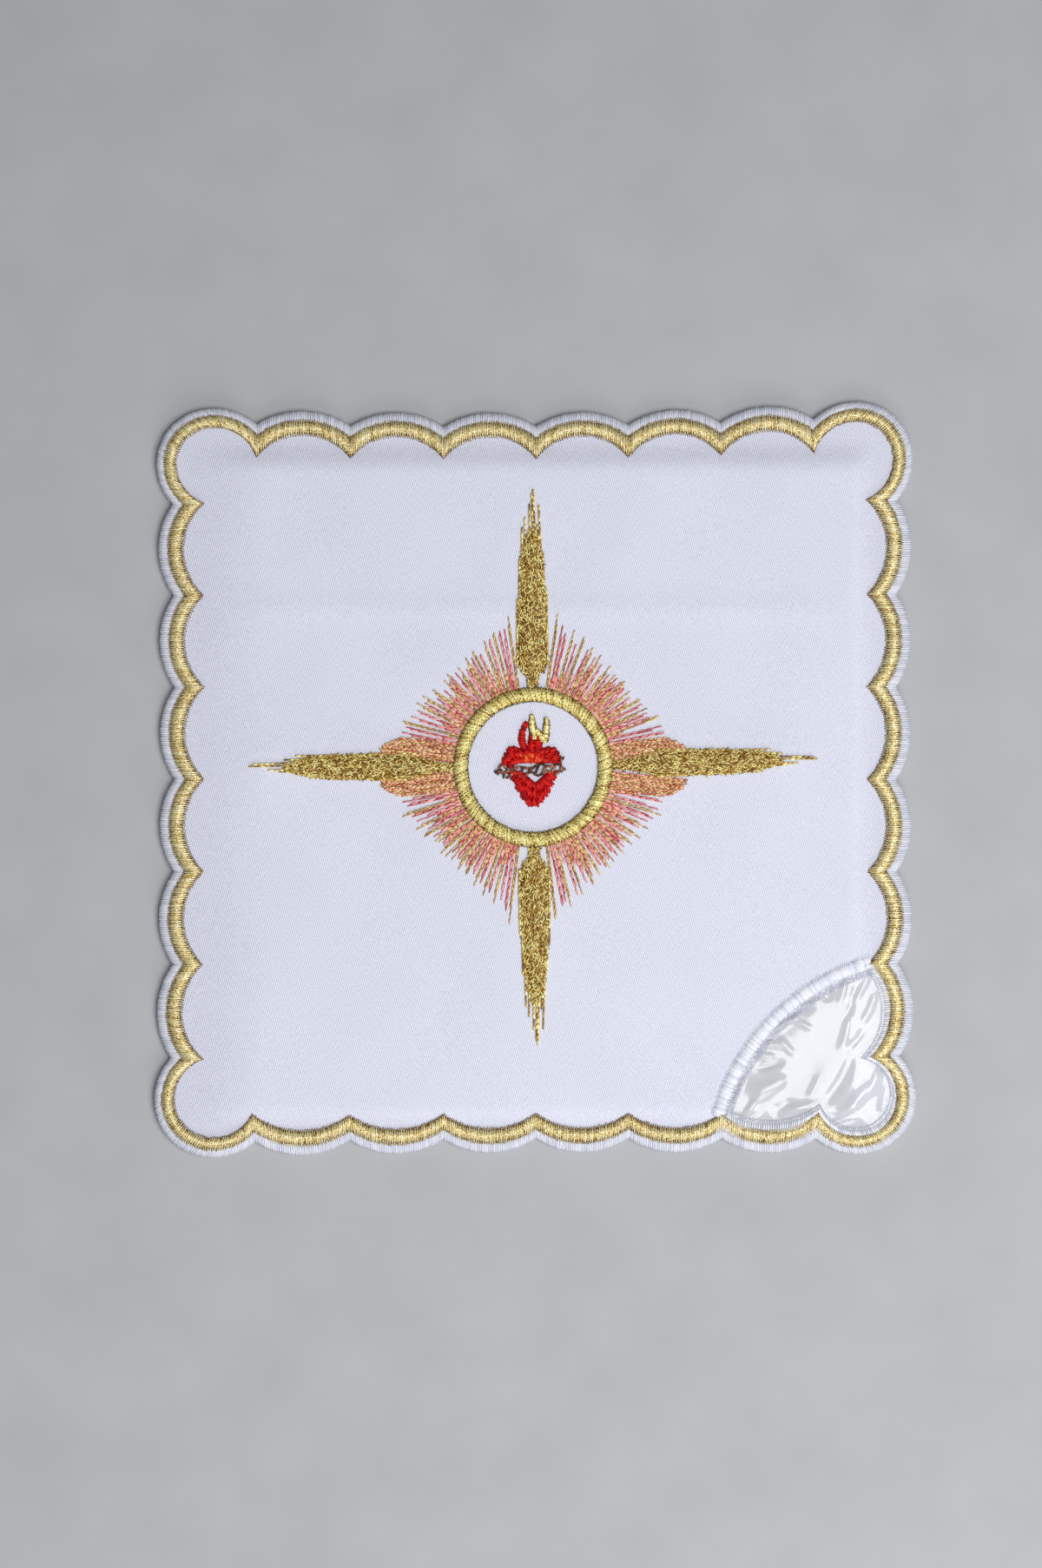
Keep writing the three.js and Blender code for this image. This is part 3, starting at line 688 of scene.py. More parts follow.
def film_top(x, y):
    """The film is drawn straight from the plate's edge to the border, with the listed creases laid on."""
    past = np.maximum(np.maximum(x - plate_high.x, plate_low.y - y), 0)
    tent = MARGIN_TOP + LIFT * np.clip(1 - past / TENT_WIDE, 0, 1)
    risen = np.zeros(np.shape(x))
    for row in CREASES:
        turn = math.radians(row["turn"])
        along = (x - row["x"]) * math.cos(turn) + (y - row["y"]) * math.sin(turn)
        aside = (y - row["y"]) * math.cos(turn) - (x - row["x"]) * math.sin(turn)
        bowed = aside - CREASE_BOW * along**2
        ends = np.exp(-((2 * along / row["long"]) ** 4))
        risen = risen + row["high"] * ends * np.exp(-((bowed / row["wide"]) ** 2))
    from_seam = WINDOW_SEAM - np.hypot(x - WINDOW[0], y - WINDOW[1])
    return tent + with_waves(risen, BROAD, x, y) * np.clip(from_seam / FILM_EASE, 0, 1)


film_line = arc_through(cloth_line, WINDOW, WINDOW_SEAM - CLEAR_OF_SEAM, keep_outside=False)
film, film_area = cloth_sheet("window_film_sheet", film_line, FILM_NET, film_top, FILM_THICK, clear_film)
print("film, square mm:", round(film_area), "triangles:", len(film.data.polygons))

# %% [markdown]
# ## One tree that sews
# Embroidery is thousands of short threads that rise from the cloth, arch over it and dive back in. Each
# stitch is first drawn as a short chain of edges. A Geometry Nodes tree then makes every chain a thread:
# it turns chains into curves, gives each its own thickness from a seeded random value, thins it where
# it enters the cloth, and sweeps a small round section along it. The tree also stores how far along its
# stitch each point is and a random shade for each thread, and the finishes read both.


# %% Tree helpers
def new_tree(name, *sizes):
    """An empty geometry tree with named inputs, and the identifier of each input."""
    tree = bpy.data.node_groups.new(name, "GeometryNodeTree")
    tree.is_modifier = True
    tree.interface.new_socket("Geometry", in_out="OUTPUT", socket_type="NodeSocketGeometry")
    tree.interface.new_socket("Geometry", in_out="INPUT", socket_type="NodeSocketGeometry")
    keys = {}
    for label, kind, value in sizes:
        socket = tree.interface.new_socket(label, in_out="INPUT", socket_type=f"NodeSocket{kind}")
        if value is not None:
            socket.default_value = value
        keys[label] = socket.identifier
    start = put(tree, "NodeGroupInput")
    end = put(tree, "NodeGroupOutput")
    return tree, start, end, keys


def random_value(tree, low, high, seed):
    """A seeded random number for each thread or point."""
    inputs = {2: low, 3: high, "Seed": seed}
    return put(tree, "FunctionNodeRandomValue", inputs, data_type="FLOAT").outputs[1]


def store(tree, geometry, name, value, domain):
    """Writes a value on every thread or point, under a name that a finish can read."""
    inputs = {"Geometry": geometry, "Name": name, "Value": value}
    node = put(tree, "GeometryNodeStoreNamedAttribute", inputs, data_type="FLOAT", domain=domain)
    return node.outputs[0]


def finish_tree(tree, end, geometry, finish):
    """Every tree ends with plain faces, softly shaded, in one finish."""
    plain = put(tree, "GeometryNodeRealizeInstances", {"Geometry": geometry}).outputs[0]
    soft = put(tree, "GeometryNodeSetShadeSmooth", {"Geometry": plain}).outputs[0]
    coloured = put(tree, "GeometryNodeSetMaterial", {"Geometry": soft, "Material": finish}).outputs[0]
    tree.links.new(coloured, end.inputs[0])


# %% Thread tree
TAPER = 4.0


def thread_tree():
    """The tree that turns chains of edges into threads."""
    tree, start, end, keys = new_tree(
        "sewn_thread",
        ("Thread radius", "Float", 0.0002),
        ("Thickness spread", "Float", 0.15),
        ("Thin at the ends", "Float", 0.4),
        ("Sides", "Int", 5),
        ("Seed", "Int", 0),
        ("Finish", "Material", None),
    )
    curves = put(tree, "GeometryNodeMeshToCurve", {"Mesh": start.outputs["Geometry"]}).outputs[0]
    seed = start.outputs["Seed"]
    shaded = store(tree, curves, "shade", random_value(tree, 0.0, 1.0, seed), "CURVE")
    along = put(tree, "GeometryNodeSplineParameter").outputs["Factor"]
    marked = store(tree, shaded, "along", along, "POINT")
    spread = start.outputs["Thickness spread"]
    shade = put(tree, "GeometryNodeInputNamedAttribute", {"Name": "shade"}, data_type="FLOAT").outputs[0]
    uneven = sum_of(tree, "MULTIPLY_ADD", sum_of(tree, "SUBTRACT", shade, 0.5), spread, 1.0)
    from_middle = sum_of(tree, "ABSOLUTE", sum_of(tree, "MULTIPLY_ADD", along, 2.0, -1.0))
    towards_end = sum_of(tree, "POWER", from_middle, TAPER)
    drop = sum_of(tree, "MULTIPLY", towards_end, start.outputs["Thin at the ends"])
    width = sum_of(tree, "MULTIPLY", uneven, sum_of(tree, "SUBTRACT", 1.0, drop))
    section = {"Resolution": start.outputs["Sides"], "Radius": start.outputs["Thread radius"]}
    circle = put(tree, "GeometryNodeCurvePrimitiveCircle", section).outputs[0]
    sweep = {"Curve": marked, "Profile Curve": circle, "Scale": width, "Fill Caps": True}
    threads = put(tree, "GeometryNodeCurveToMesh", sweep).outputs[0]
    finish_tree(tree, end, threads, start.outputs["Finish"])
    return tree, keys


sewn_thread, thread_keys = thread_tree()
print("tree:", sewn_thread.name, "inputs:", list(thread_keys))


# %% Running a tree
def grown(carrier, tree, keys, sizes):
    """The plain mesh that a tree makes from a carrier, which is then thrown away."""
    modifier = carrier.modifiers.new("sewing", "NODES")
    modifier.node_group = tree
    for label, value in sizes.items():
        modifier[keys[label]] = value
    ready = carrier.evaluated_get(bpy.context.evaluated_depsgraph_get())
    mesh = bpy.data.meshes.new_from_object(ready)
    carrier.modifiers.clear()
    bpy.data.objects.remove(carrier)
    return mesh


def sew(name, chains, finish, radius, seed, spread=0.3, thin=0.4, sides=5):
    """Threads along chains of points in millimetres: one array of points for each stitch."""
    chains = np.asarray(chains, float)
    stitches, steps = chains.shape[:2]
    first = np.arange(stitches)[:, None] * steps + np.arange(steps - 1)[None]
    edges = np.column_stack([first.ravel(), first.ravel() + 1]).tolist()
    carrier = new_piece(name, chains.reshape(-1, 3), [], finish, edges=edges)
    sizes = {
        "Thread radius": radius * MM,
        "Thickness spread": spread,
        "Thin at the ends": thin,
        "Sides": sides,
        "Seed": seed,
        "Finish": finish,
    }
    return to_scene(name, grown(carrier, sewn_thread, thread_keys, sizes))


def joined(name, *parts):
    """Several objects as one piece."""
    first = parts[0]
    with bpy.context.temp_override(active_object=first, selected_editable_objects=list(parts)):
        bpy.ops.object.join()
    first.name = name
    first.data.name = name
    return first


def hand_over(piece, node=None):
    """Puts a piece on the pall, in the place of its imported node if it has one."""
    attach(piece, "root")
    if node:
        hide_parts(node)
    triangles = sum(len(face.vertices) - 2 for face in piece.data.polygons)
    print(piece.name, "triangles:", triangles)


# %% [markdown]
# ## Threads
# White satin thread is smooth and silky. Gold thread is a thin bright foil wound round a core, so it
# glitters: its colour flips between pale, golden and brown several times in a millimetre, painted glints
# and painted shade over its own gold. Pink and red threads are plain rayon. All the finishes take a random
# tone for each thread, and all paint shade on its two ends, where it dives into the cloth.


# %% How a thread is coloured
def near_ends(tree, sharp):
    """From 0 in the middle of a stitch to 1 at its ends."""
    along = put(tree, "ShaderNodeAttribute", attribute_name="along").outputs["Fac"]
    from_middle = sum_of(tree, "ABSOLUTE", sum_of(tree, "MULTIPLY_ADD", along, 2.0, -1.0))
    return sum_of(tree, "POWER", from_middle, sharp)


def thread_finish(name, stops, per_mm, glint_and_speck, shade, end_painted_shade, end_sharp, deep, **constants):
    """A thread's colour from its glints and specks, its own random tone, and painted shade near its ends."""
    finish, tree, shader = new_finish(name, **constants)
    spot = in_millimetres(tree)
    glints_and_specks = mottle(tree, spot, per_mm, detail=2.0, roughness=0.6)
    own = put(tree, "ShaderNodeAttribute", attribute_name="shade").outputs["Fac"]
    # The specks lighten and darken the colour; on gold thread they are painted glints and painted shade.
    tone = sum_of(tree, "MULTIPLY_ADD", sum_of(tree, "SUBTRACT", glints_and_specks, 0.5), glint_and_speck, 0.5)
    tone = sum_of(tree, "MULTIPLY_ADD", sum_of(tree, "SUBTRACT", own, 0.5), shade, tone)
    # Painted shade at the two ends of a stitch, where it dives into the cloth.
    tone = sum_of(tree, "MULTIPLY_ADD", near_ends(tree, end_sharp), -end_painted_shade, tone)
    colour_by(tree, shader, tone, *stops)
    bump(tree, shader, glints_and_specks, deep)
    return finish


# %% White and gold threads
white_thread = thread_finish(
    "white_satin_thread",
    [(0.0, 150, 154, 174), (0.35, 208, 211, 224), (0.7, 236, 238, 246)],
    per_mm=2.2, glint_and_speck=0.45, shade=0.22, end_painted_shade=0.12, end_sharp=6.0, deep=0.04,
    Roughness=0.45, Sheen_Weight=0.3,
)
# On the gold threads the palest stops are painted glints and the brown ones painted shade, over the gold's
# own colour.
border_thread = thread_finish(
    "border_gold_thread",
    [(0.0, 76, 42, 4), (0.24, 168, 120, 36), (0.44, 246, 222, 142), (0.66, 255, 253, 220)],
    per_mm=3.4, glint_and_speck=1.9, shade=0.2, end_painted_shade=0.9, end_sharp=5.0, deep=0.06,
    Metallic=0.38, Roughness=0.36,
)
# A gold padding coloured dark: painted shade for the gaps between the threads of the border and the ring.
gold_padding_painted_shade = thread_finish(
    "gold_padding_painted_shade",
    [(0.0, 58, 34, 6), (0.5, 112, 76, 20), (0.9, 170, 130, 50)],
    per_mm=3.0, glint_and_speck=1.0, shade=0.3, end_painted_shade=0.3, end_sharp=4.0, deep=0.08,
    Metallic=0.5, Roughness=0.5,
)
ring_thread = thread_finish(
    "ring_gold_thread",
    [(0.0, 54, 28, 0), (0.26, 136, 98, 16), (0.46, 242, 214, 98), (0.6, 255, 252, 188)],
    per_mm=3.7, glint_and_speck=2.2, shade=0.34, end_painted_shade=0.95, end_sharp=3.5, deep=0.06,
    Metallic=0.2, Roughness=0.32,
)
ray_thread = thread_finish(
    "ray_gold_thread",
    [(0.0, 110, 72, 8), (0.25, 172, 128, 42), (0.5, 226, 190, 92), (0.76, 255, 250, 176)],
    per_mm=3.4, glint_and_speck=1.7, shade=0.8, end_painted_shade=0.5, end_sharp=4.0, deep=0.06,
    Metallic=0.2, Roughness=0.36,
)
# The white thread painted greyer and bluer: painted shade, for the small stitches round the film.
shaded_thread = thread_finish(
    "shaded_white_thread",
    [(0.0, 164, 170, 196), (0.5, 212, 216, 234), (0.9, 246, 248, 254)],
    per_mm=2.2, glint_and_speck=0.6, shade=0.5, end_painted_shade=0.2, end_sharp=4.0, deep=0.03,
    Roughness=0.5,
)
# Painted glints and painted shade, as on the other gold threads.
thin_gold_thread = thread_finish(
    "thin_gold_thread",
    [(0.0, 120, 78, 28), (0.3, 192, 148, 78), (0.55, 234, 200, 126), (0.85, 252, 232, 166)],
    per_mm=3.0, glint_and_speck=1.4, shade=0.5, end_painted_shade=0.4, end_sharp=4.0, deep=0.05,
    Metallic=0.2, Roughness=0.4,
)
# A lighter copy of the white satin thread: painted light, so the raised window band stays white where it
# slopes from the lamps.
painted_light_white_thread = thread_finish(
    "white_thread_painted_light",
    [(0.0, 172, 178, 204), (0.45, 234, 237, 248), (0.9, 255, 255, 255)],
    per_mm=2.2, glint_and_speck=0.5, shade=0.45, end_painted_shade=0.15, end_sharp=6.0, deep=0.02,
    Roughness=0.4, Sheen_Weight=0.4,
)
print("white and gold threads made, the first of them", white_thread.name)

# %% Silk threads
pink_thread = thread_finish(
    "pink_silk_thread",
    [(0.0, 130, 16, 28), (0.25, 204, 76, 84), (0.45, 240, 148, 146), (0.85, 255, 206, 200)],
    per_mm=2.0, glint_and_speck=0.5, shade=0.5, end_painted_shade=0.95, end_sharp=8.0, deep=0.03,
    Roughness=0.42, Specular_IOR_Level=0.35,
)
red_thread = thread_finish(
    "red_silk_thread",
    [(0.0, 104, 0, 6), (0.35, 168, 0, 6), (0.65, 208, 6, 8), (0.95, 230, 34, 14)],
    per_mm=1.2, glint_and_speck=0.8, shade=0.7, end_painted_shade=0.25, end_sharp=5.0, deep=0.03,
    Roughness=0.5, Specular_IOR_Level=0.25,
)
orange_thread = thread_finish(
    "orange_silk_thread",
    [(0.0, 186, 14, 12), (0.45, 232, 54, 20), (0.9, 250, 120, 56)],
    per_mm=1.4, glint_and_speck=0.7, shade=0.6, end_painted_shade=0.3, end_sharp=5.0, deep=0.03,
    Roughness=0.5, Specular_IOR_Level=0.25,
)
brown_thread = thread_finish(
    "brown_silk_thread",
    [(0.0, 50, 22, 8), (0.5, 110, 64, 40), (1.0, 190, 138, 104)],
    per_mm=2.4, glint_and_speck=0.7, shade=0.8, end_painted_shade=0.5, end_sharp=4.0, deep=0.03,
    Roughness=0.45,
)
print("silk threads made, the first of them", pink_thread.name)

# %% [markdown]
# ## Satin bands
# Satin stitch lays threads side by side across a band. The places for the stitches come from two or more
# lines that match point for point: they are spaced evenly by length along the middle of the band, so the
# threads keep one distance on arcs and in notches alike. Under the threads lies a padding that fills the
# band, as an embroiderer lays one to raise the stitches.


# %% Places along a band
def evenly(lines, middle, pitch, closed):
    """The same evenly spaced places on each of several matched lines."""
    guide = np.concatenate([middle, middle[:1]]) if closed else middle
    travelled = np.concatenate([[0], np.cumsum(np.hypot(*np.diff(guide, axis=0).T))])
    count = round(travelled[-1] / pitch)
    at = travelled[-1] * np.arange(count + (0 if closed else 1)) / count
    spaced = []
    for line in lines:
        full = np.concatenate([line, line[:1]]) if closed else line
        spaced.append(np.column_stack([np.interp(at, travelled, full[:, i]) for i in range(2)]))
    return spaced


def raised(spots, up, floor_at=face_top):
    """Flat places, so far above the face or another surface."""
    return np.column_stack([spots, floor_at(spots[:, 0], spots[:, 1]) + up])


def over_band(outer, inner, profile, floor_at=face_top):
    """A chain across the band at each pair of places, at the heights that a profile gives."""
    chains = []
    for across, up in profile:
        chains.append(raised(outer + (inner - outer) * across, up, floor_at))
    return np.stack(chains, axis=1)


def lengthened(outer, inner, by_outer, by_inner):
    """Moves the two ends of each stitch out along it, by its own amount in millimetres."""
    along = inner - outer
    along = along / np.maximum(np.hypot(*along.T), 1e-6)[:, None]
    return outer - along * by_outer[:, None], inner + along * by_inner[:, None]


# %% Padding
def padding(name, chains, finish, closed):
    """A skin over the stitch chains of a band, which fills it from side to side."""
    count, across = chains.shape[:2]
    faces = []
    for i in range(count if closed else count - 1):
        here, after = i * across, ((i + 1) % count) * across
        for j in range(across):
            k = (j + 1) % across
            faces.append((here + j, here + k, after + k, after + j))
    if not closed:
        last = (count - 1) * across
        faces.append(tuple(range(across))[::-1])
        faces.append(tuple(last + j for j in range(across)))
    piece = new_piece(name, chains.reshape(-1, 3), faces, finish)
    make_outward(piece)
    return piece


def make_outward(piece):
    """Turns the faces round if the closed mesh has them pointing inwards."""
    mesh = piece.data
    points = np.array([v.co for v in mesh.vertices])
    volume = 0.0
    for face in mesh.polygons:
        a = points[face.vertices[0]]
        for j in range(1, len(face.vertices) - 1):
            b, c = points[face.vertices[j]], points[face.vertices[j + 1]]
            volume += float(np.dot(a, np.cross(b, c)))
    if volume < 0:
        mesh.flip_normals()


# %% [markdown]
# ## The white satin rim
# The rim holds the two cloths together. Its threads come up from the underside, wrap round the raw edge
# and end under the gold. A soft padding of the same white fills the roll.

# %% White rim
RIM_PITCH = 0.5
RIM_RADIUS = 0.26
RIM_MIDDLE = 0.6
RIM_WANDER = 0.035
RIM_WRAP = table(
    "inset z",
    (1.9, 0.34),
    (0.75, 0.3),
    (0.3, 0.75),
    (0.25, 1.5),
    (0.6, 2.15),
    (1.2, 2.45),
    (1.9, 2.5),
    (2.5, 2.4),
)
wrap_lines = [edge_line(row["inset"]) for row in RIM_WRAP]
wrap_spots = evenly(wrap_lines, edge_line(RIM_MIDDLE), RIM_PITCH, closed=True)
rng = np.random.default_rng(11)
stitch_count = len(wrap_spots[0])
wander = rng.normal(0, RIM_WANDER, (stitch_count, len(RIM_WRAP), 2))
wraps = []
for i, (spots, row) in enumerate(zip(wrap_spots, RIM_WRAP)):
    wraps.append(np.column_stack([spots + wander[:, i], np.full(stitch_count, row["z"])]))
rim_chains = np.stack(wraps, axis=1)
rim_threads = sew("rim_threads", rim_chains, white_thread, RIM_RADIUS, seed=1, spread=0.25, thin=0.3)
rim_fill = padding("rim_fill", rim_chains[::2], white_thread, closed=True)
white_edging = joined("white_satin_rim", rim_threads, rim_fill)
hand_over(white_edging, "white_edging")

# %% [markdown]
# ## The gold border
# Inside the rim runs a raised band of gold satin. A machine sews it with a long stitch and a shorter one
# by turns, which gives both of its edges fine teeth. A gold padding shows between the teeth, coloured dark
# brown as painted shade in the gaps.

# %% Gold border
GOLD_INNER_INSET = 5.35
GOLD_PITCH = 0.25
GOLD_RADIUS = 0.16
SHORT_STITCH_DROP = 0.13
GOLD_PROFILE = [(0.0, -0.1), (0.08, 0.42), (0.3, 0.86), (0.55, 1.02), (0.87, 0.66), (1.0, -0.1)]
GOLD_PAD_PROFILE = [(0.0, -0.2), (0.06, 0.3), (0.3, 0.74), (0.65, 0.76), (0.94, 0.35), (1.0, -0.2)]
TEETH = 0.3
TEETH_WANDER = 0.07
PAD_CLEAR = 0.12
HEIGHT_WANDER = 0.03


def toothed(outer, inner, deep, wander, rng):
    """Makes every other stitch longer at both ends, and none of them quite alike."""
    count = len(outer)
    step = np.where(np.arange(count) % 2 == 0, deep, -deep)
    by_outer = step + rng.normal(0, wander, count)
    by_inner = step + rng.normal(0, wander, count)
    return lengthened(outer, inner, by_outer, by_inner)


gold_lines = [edge_line(CLOTH_INSET), edge_line(GOLD_INNER_INSET)]
gold_middle = edge_line((CLOTH_INSET + GOLD_INNER_INSET) / 2)
outer, inner = evenly(gold_lines, gold_middle, GOLD_PITCH, closed=True)
drawn_in = np.full(len(outer), -PAD_CLEAR)
pad_chains = over_band(*lengthened(outer, inner, drawn_in, drawn_in), GOLD_PAD_PROFILE)
rng = np.random.default_rng(12)
gold_chains = over_band(*toothed(outer, inner, TEETH, TEETH_WANDER, rng), GOLD_PROFILE)
gold_chains[:, :, 2] += rng.normal(0, HEIGHT_WANDER, gold_chains.shape[:2])
gold_chains[1::2, :, 2] -= SHORT_STITCH_DROP
gold_threads = sew("gold_threads", gold_chains, border_thread, GOLD_RADIUS, seed=2, spread=0.2, sides=4)
gold_fill = padding("gold_fill", pad_chains[::3], gold_padding_painted_shade, closed=True)
gold_border = joined("gold_satin_border", gold_threads, gold_fill)
hand_over(gold_border, "gold_edging")

# %% [markdown]
# ## The ring
# The ring is the highest band. Its threads lean a little to one side of the straight line to its middle,
# so the two ends of a stitch sit at slightly different angles.

# %% Gold ring
ring_low, ring_high = (Vector(corner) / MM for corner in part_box("gold_ring"))
RING = np.array([(ring_low.x + ring_high.x) / 2, (ring_low.y + ring_high.y) / 2])
RING_OUTER = (ring_high.x - ring_low.x) / 2
RING_WIDE = 3.2
RING_INNER = RING_OUTER - RING_WIDE
RING_PITCH = 0.28
RING_LEAN = math.radians(2.2)
RING_PROFILE = [(0.0, -0.1), (0.08, 0.8), (0.3, 1.27), (0.6, 1.3), (0.92, 0.8), (1.0, -0.1)]
ARC_TEETH_WANDER = 0.06
ARC_PAD_CLEAR = 0.15
ARC_PAD_DOWN = 0.2


def on_circle(centre, radius, angles):
    """Places on a circle, or at a radius of their own for each angle."""
    return centre + np.reshape(radius, (-1, 1)) * np.column_stack([np.cos(angles), np.sin(angles)])


def round_band(name, centre, radii, angles, profile, finishes, seed, closed, thick, teeth, lean=0.0):
    """A satin band along an arc in threads of one radius, with its padding."""
    rng = np.random.default_rng(seed)
    outer = on_circle(centre, radii[0], angles + lean)
    inner = on_circle(centre, radii[1], angles - lean)
    chains = over_band(*toothed(outer, inner, teeth, ARC_TEETH_WANDER, rng), profile)
    chains[:, :, 2] += rng.normal(0, HEIGHT_WANDER, chains.shape[:2])
    threads = sew(name, chains, finishes[0], thick, seed=seed, spread=0.2, thin=0.15)
    pad_outer = on_circle(centre, radii[0] - ARC_PAD_CLEAR, angles)
    pad_inner = on_circle(centre, radii[1] + ARC_PAD_CLEAR, angles)
    pad_profile = [(across, up - ARC_PAD_DOWN) for across, up in profile]
    fill = padding(name + "_fill", over_band(pad_outer, pad_inner, pad_profile), finishes[1], closed)
    return joined(name, threads, fill)


ring_count = round(2 * math.pi * (RING_INNER + RING_OUTER) / 2 / RING_PITCH)
ring_angles = 2 * math.pi * np.arange(ring_count) / ring_count
gold_ring = round_band(
    "gold_satin_ring", RING, (RING_OUTER, RING_INNER), ring_angles, RING_PROFILE,
    (ring_thread, gold_padding_painted_shade), seed=3, closed=True, thick=0.155, teeth=0.08, lean=RING_LEAN,
)
hand_over(gold_ring, "gold_ring")

# %% Window band
BAND_OUTER = 50.3
BAND_INNER = BAND_OUTER - 2.8
BAND_FROM, BAND_TO = math.radians(106.5), math.radians(164)
BAND_PITCH = 0.25
BAND_PROFILE = [(0.0, 0.02), (0.12, 0.24), (0.35, 0.4), (0.6, 0.4), (0.88, 0.22), (1.0, 0.0)]
band_count = round((BAND_TO - BAND_FROM) * BAND_OUTER / BAND_PITCH)
band_angles = np.linspace(BAND_FROM, BAND_TO, band_count)
# The band's threads and padding take the white thread painted lighter.
window_band = round_band(
    "window_satin_band", WINDOW, (BAND_OUTER, BAND_INNER), band_angles, BAND_PROFILE,
    (painted_light_white_thread, painted_light_white_thread), seed=4, closed=False, thick=0.17, teeth=0.27,
)
hand_over(window_band, "window_edging")

# %% Stitches round the film
TICK_LONG = 0.45
TICK_PITCH = 0.5
TICK_PROFILE = [(0.0, 0.0), (0.25, 0.18), (0.75, 0.18), (1.0, 0.0)]
ARC_TICKS_IN = [0.35, 0.85, 1.3]
TACK_FROM, TACK_TO = -0.15, 1.05
TACK_PROFILE = [(0.0, 0.1), (0.2, 0.25), (0.75, 0.2), (1.0, 0.0)]
DOTS_AT = 1.4
CLEAR_OF_BAND = 0.3
TACK_RADIUS = 0.21
TICK_RADIUS = 0.15


def ticks_on_arc(deep, start):
    """Short stitches across the inner side of the satin arc."""
    radius = BAND_INNER - deep
    count = round((BAND_TO - BAND_FROM) * radius / TICK_PITCH)
    angles = np.linspace(BAND_FROM, BAND_TO, count) + start / radius
    outer = on_circle(WINDOW, radius + TICK_LONG / 2, angles)
    inner = on_circle(WINDOW, radius - TICK_LONG / 2, angles)
    return over_band(outer, inner, TICK_PROFILE, floor_at=film_top)


def ticks_on_border(past_from, past_to, profile, start):
    """Short stitches over the film, square to the border and so far past its inner edge."""
    outer, inner = (line[start::2] for line in evenly(gold_lines, gold_middle, GOLD_PITCH, closed=True))
    along = (inner - outer) / np.hypot(*(inner - outer).T)[:, None]
    outer, inner = inner + along * past_from, inner + along * past_to
    on_film = np.hypot(*(inner - WINDOW).T) < BAND_INNER - CLEAR_OF_BAND
    return over_band(outer[on_film], inner[on_film], profile, floor_at=film_top)


arc_ticks = np.concatenate([ticks_on_arc(deep, i * TICK_PITCH / 2) for i, deep in enumerate(ARC_TICKS_IN)])
tacks = ticks_on_border(TACK_FROM, TACK_TO, TACK_PROFILE, start=0)
dots = ticks_on_border(DOTS_AT, DOTS_AT + TICK_LONG, TICK_PROFILE, start=1)
film_tacks = joined(
    "window_tack_stitches",
    sew("tacks", tacks, painted_light_white_thread, TACK_RADIUS, seed=6, sides=4),
    sew("dots", np.concatenate([arc_ticks, dots]), shaded_thread, TICK_RADIUS, seed=7, sides=4),
)
hand_over(film_tacks)
print("stitches round the film:", len(arc_ticks) + len(tacks) + len(dots))

# %% [markdown]
# ## The long rays
# Each long ray is a narrow leaf of gold, filled with short stitches that lie every which way along it, so
# it looks like granite and not like satin. A second tree scatters them: it spreads points over a low
# domed leaf at a set spacing, puts one short arched thread on each, and turns it by a seeded angle. The
# leaf itself stays under them as the padding. Towards its tip a ray breaks up into single running
# stitches, which are sewn beside it.


# %% Scatter tree
MOST_DENSE = 1.5e7
TILT_SPREAD = 0.12
SHORTEST, LONGEST = 0.75, 1.25


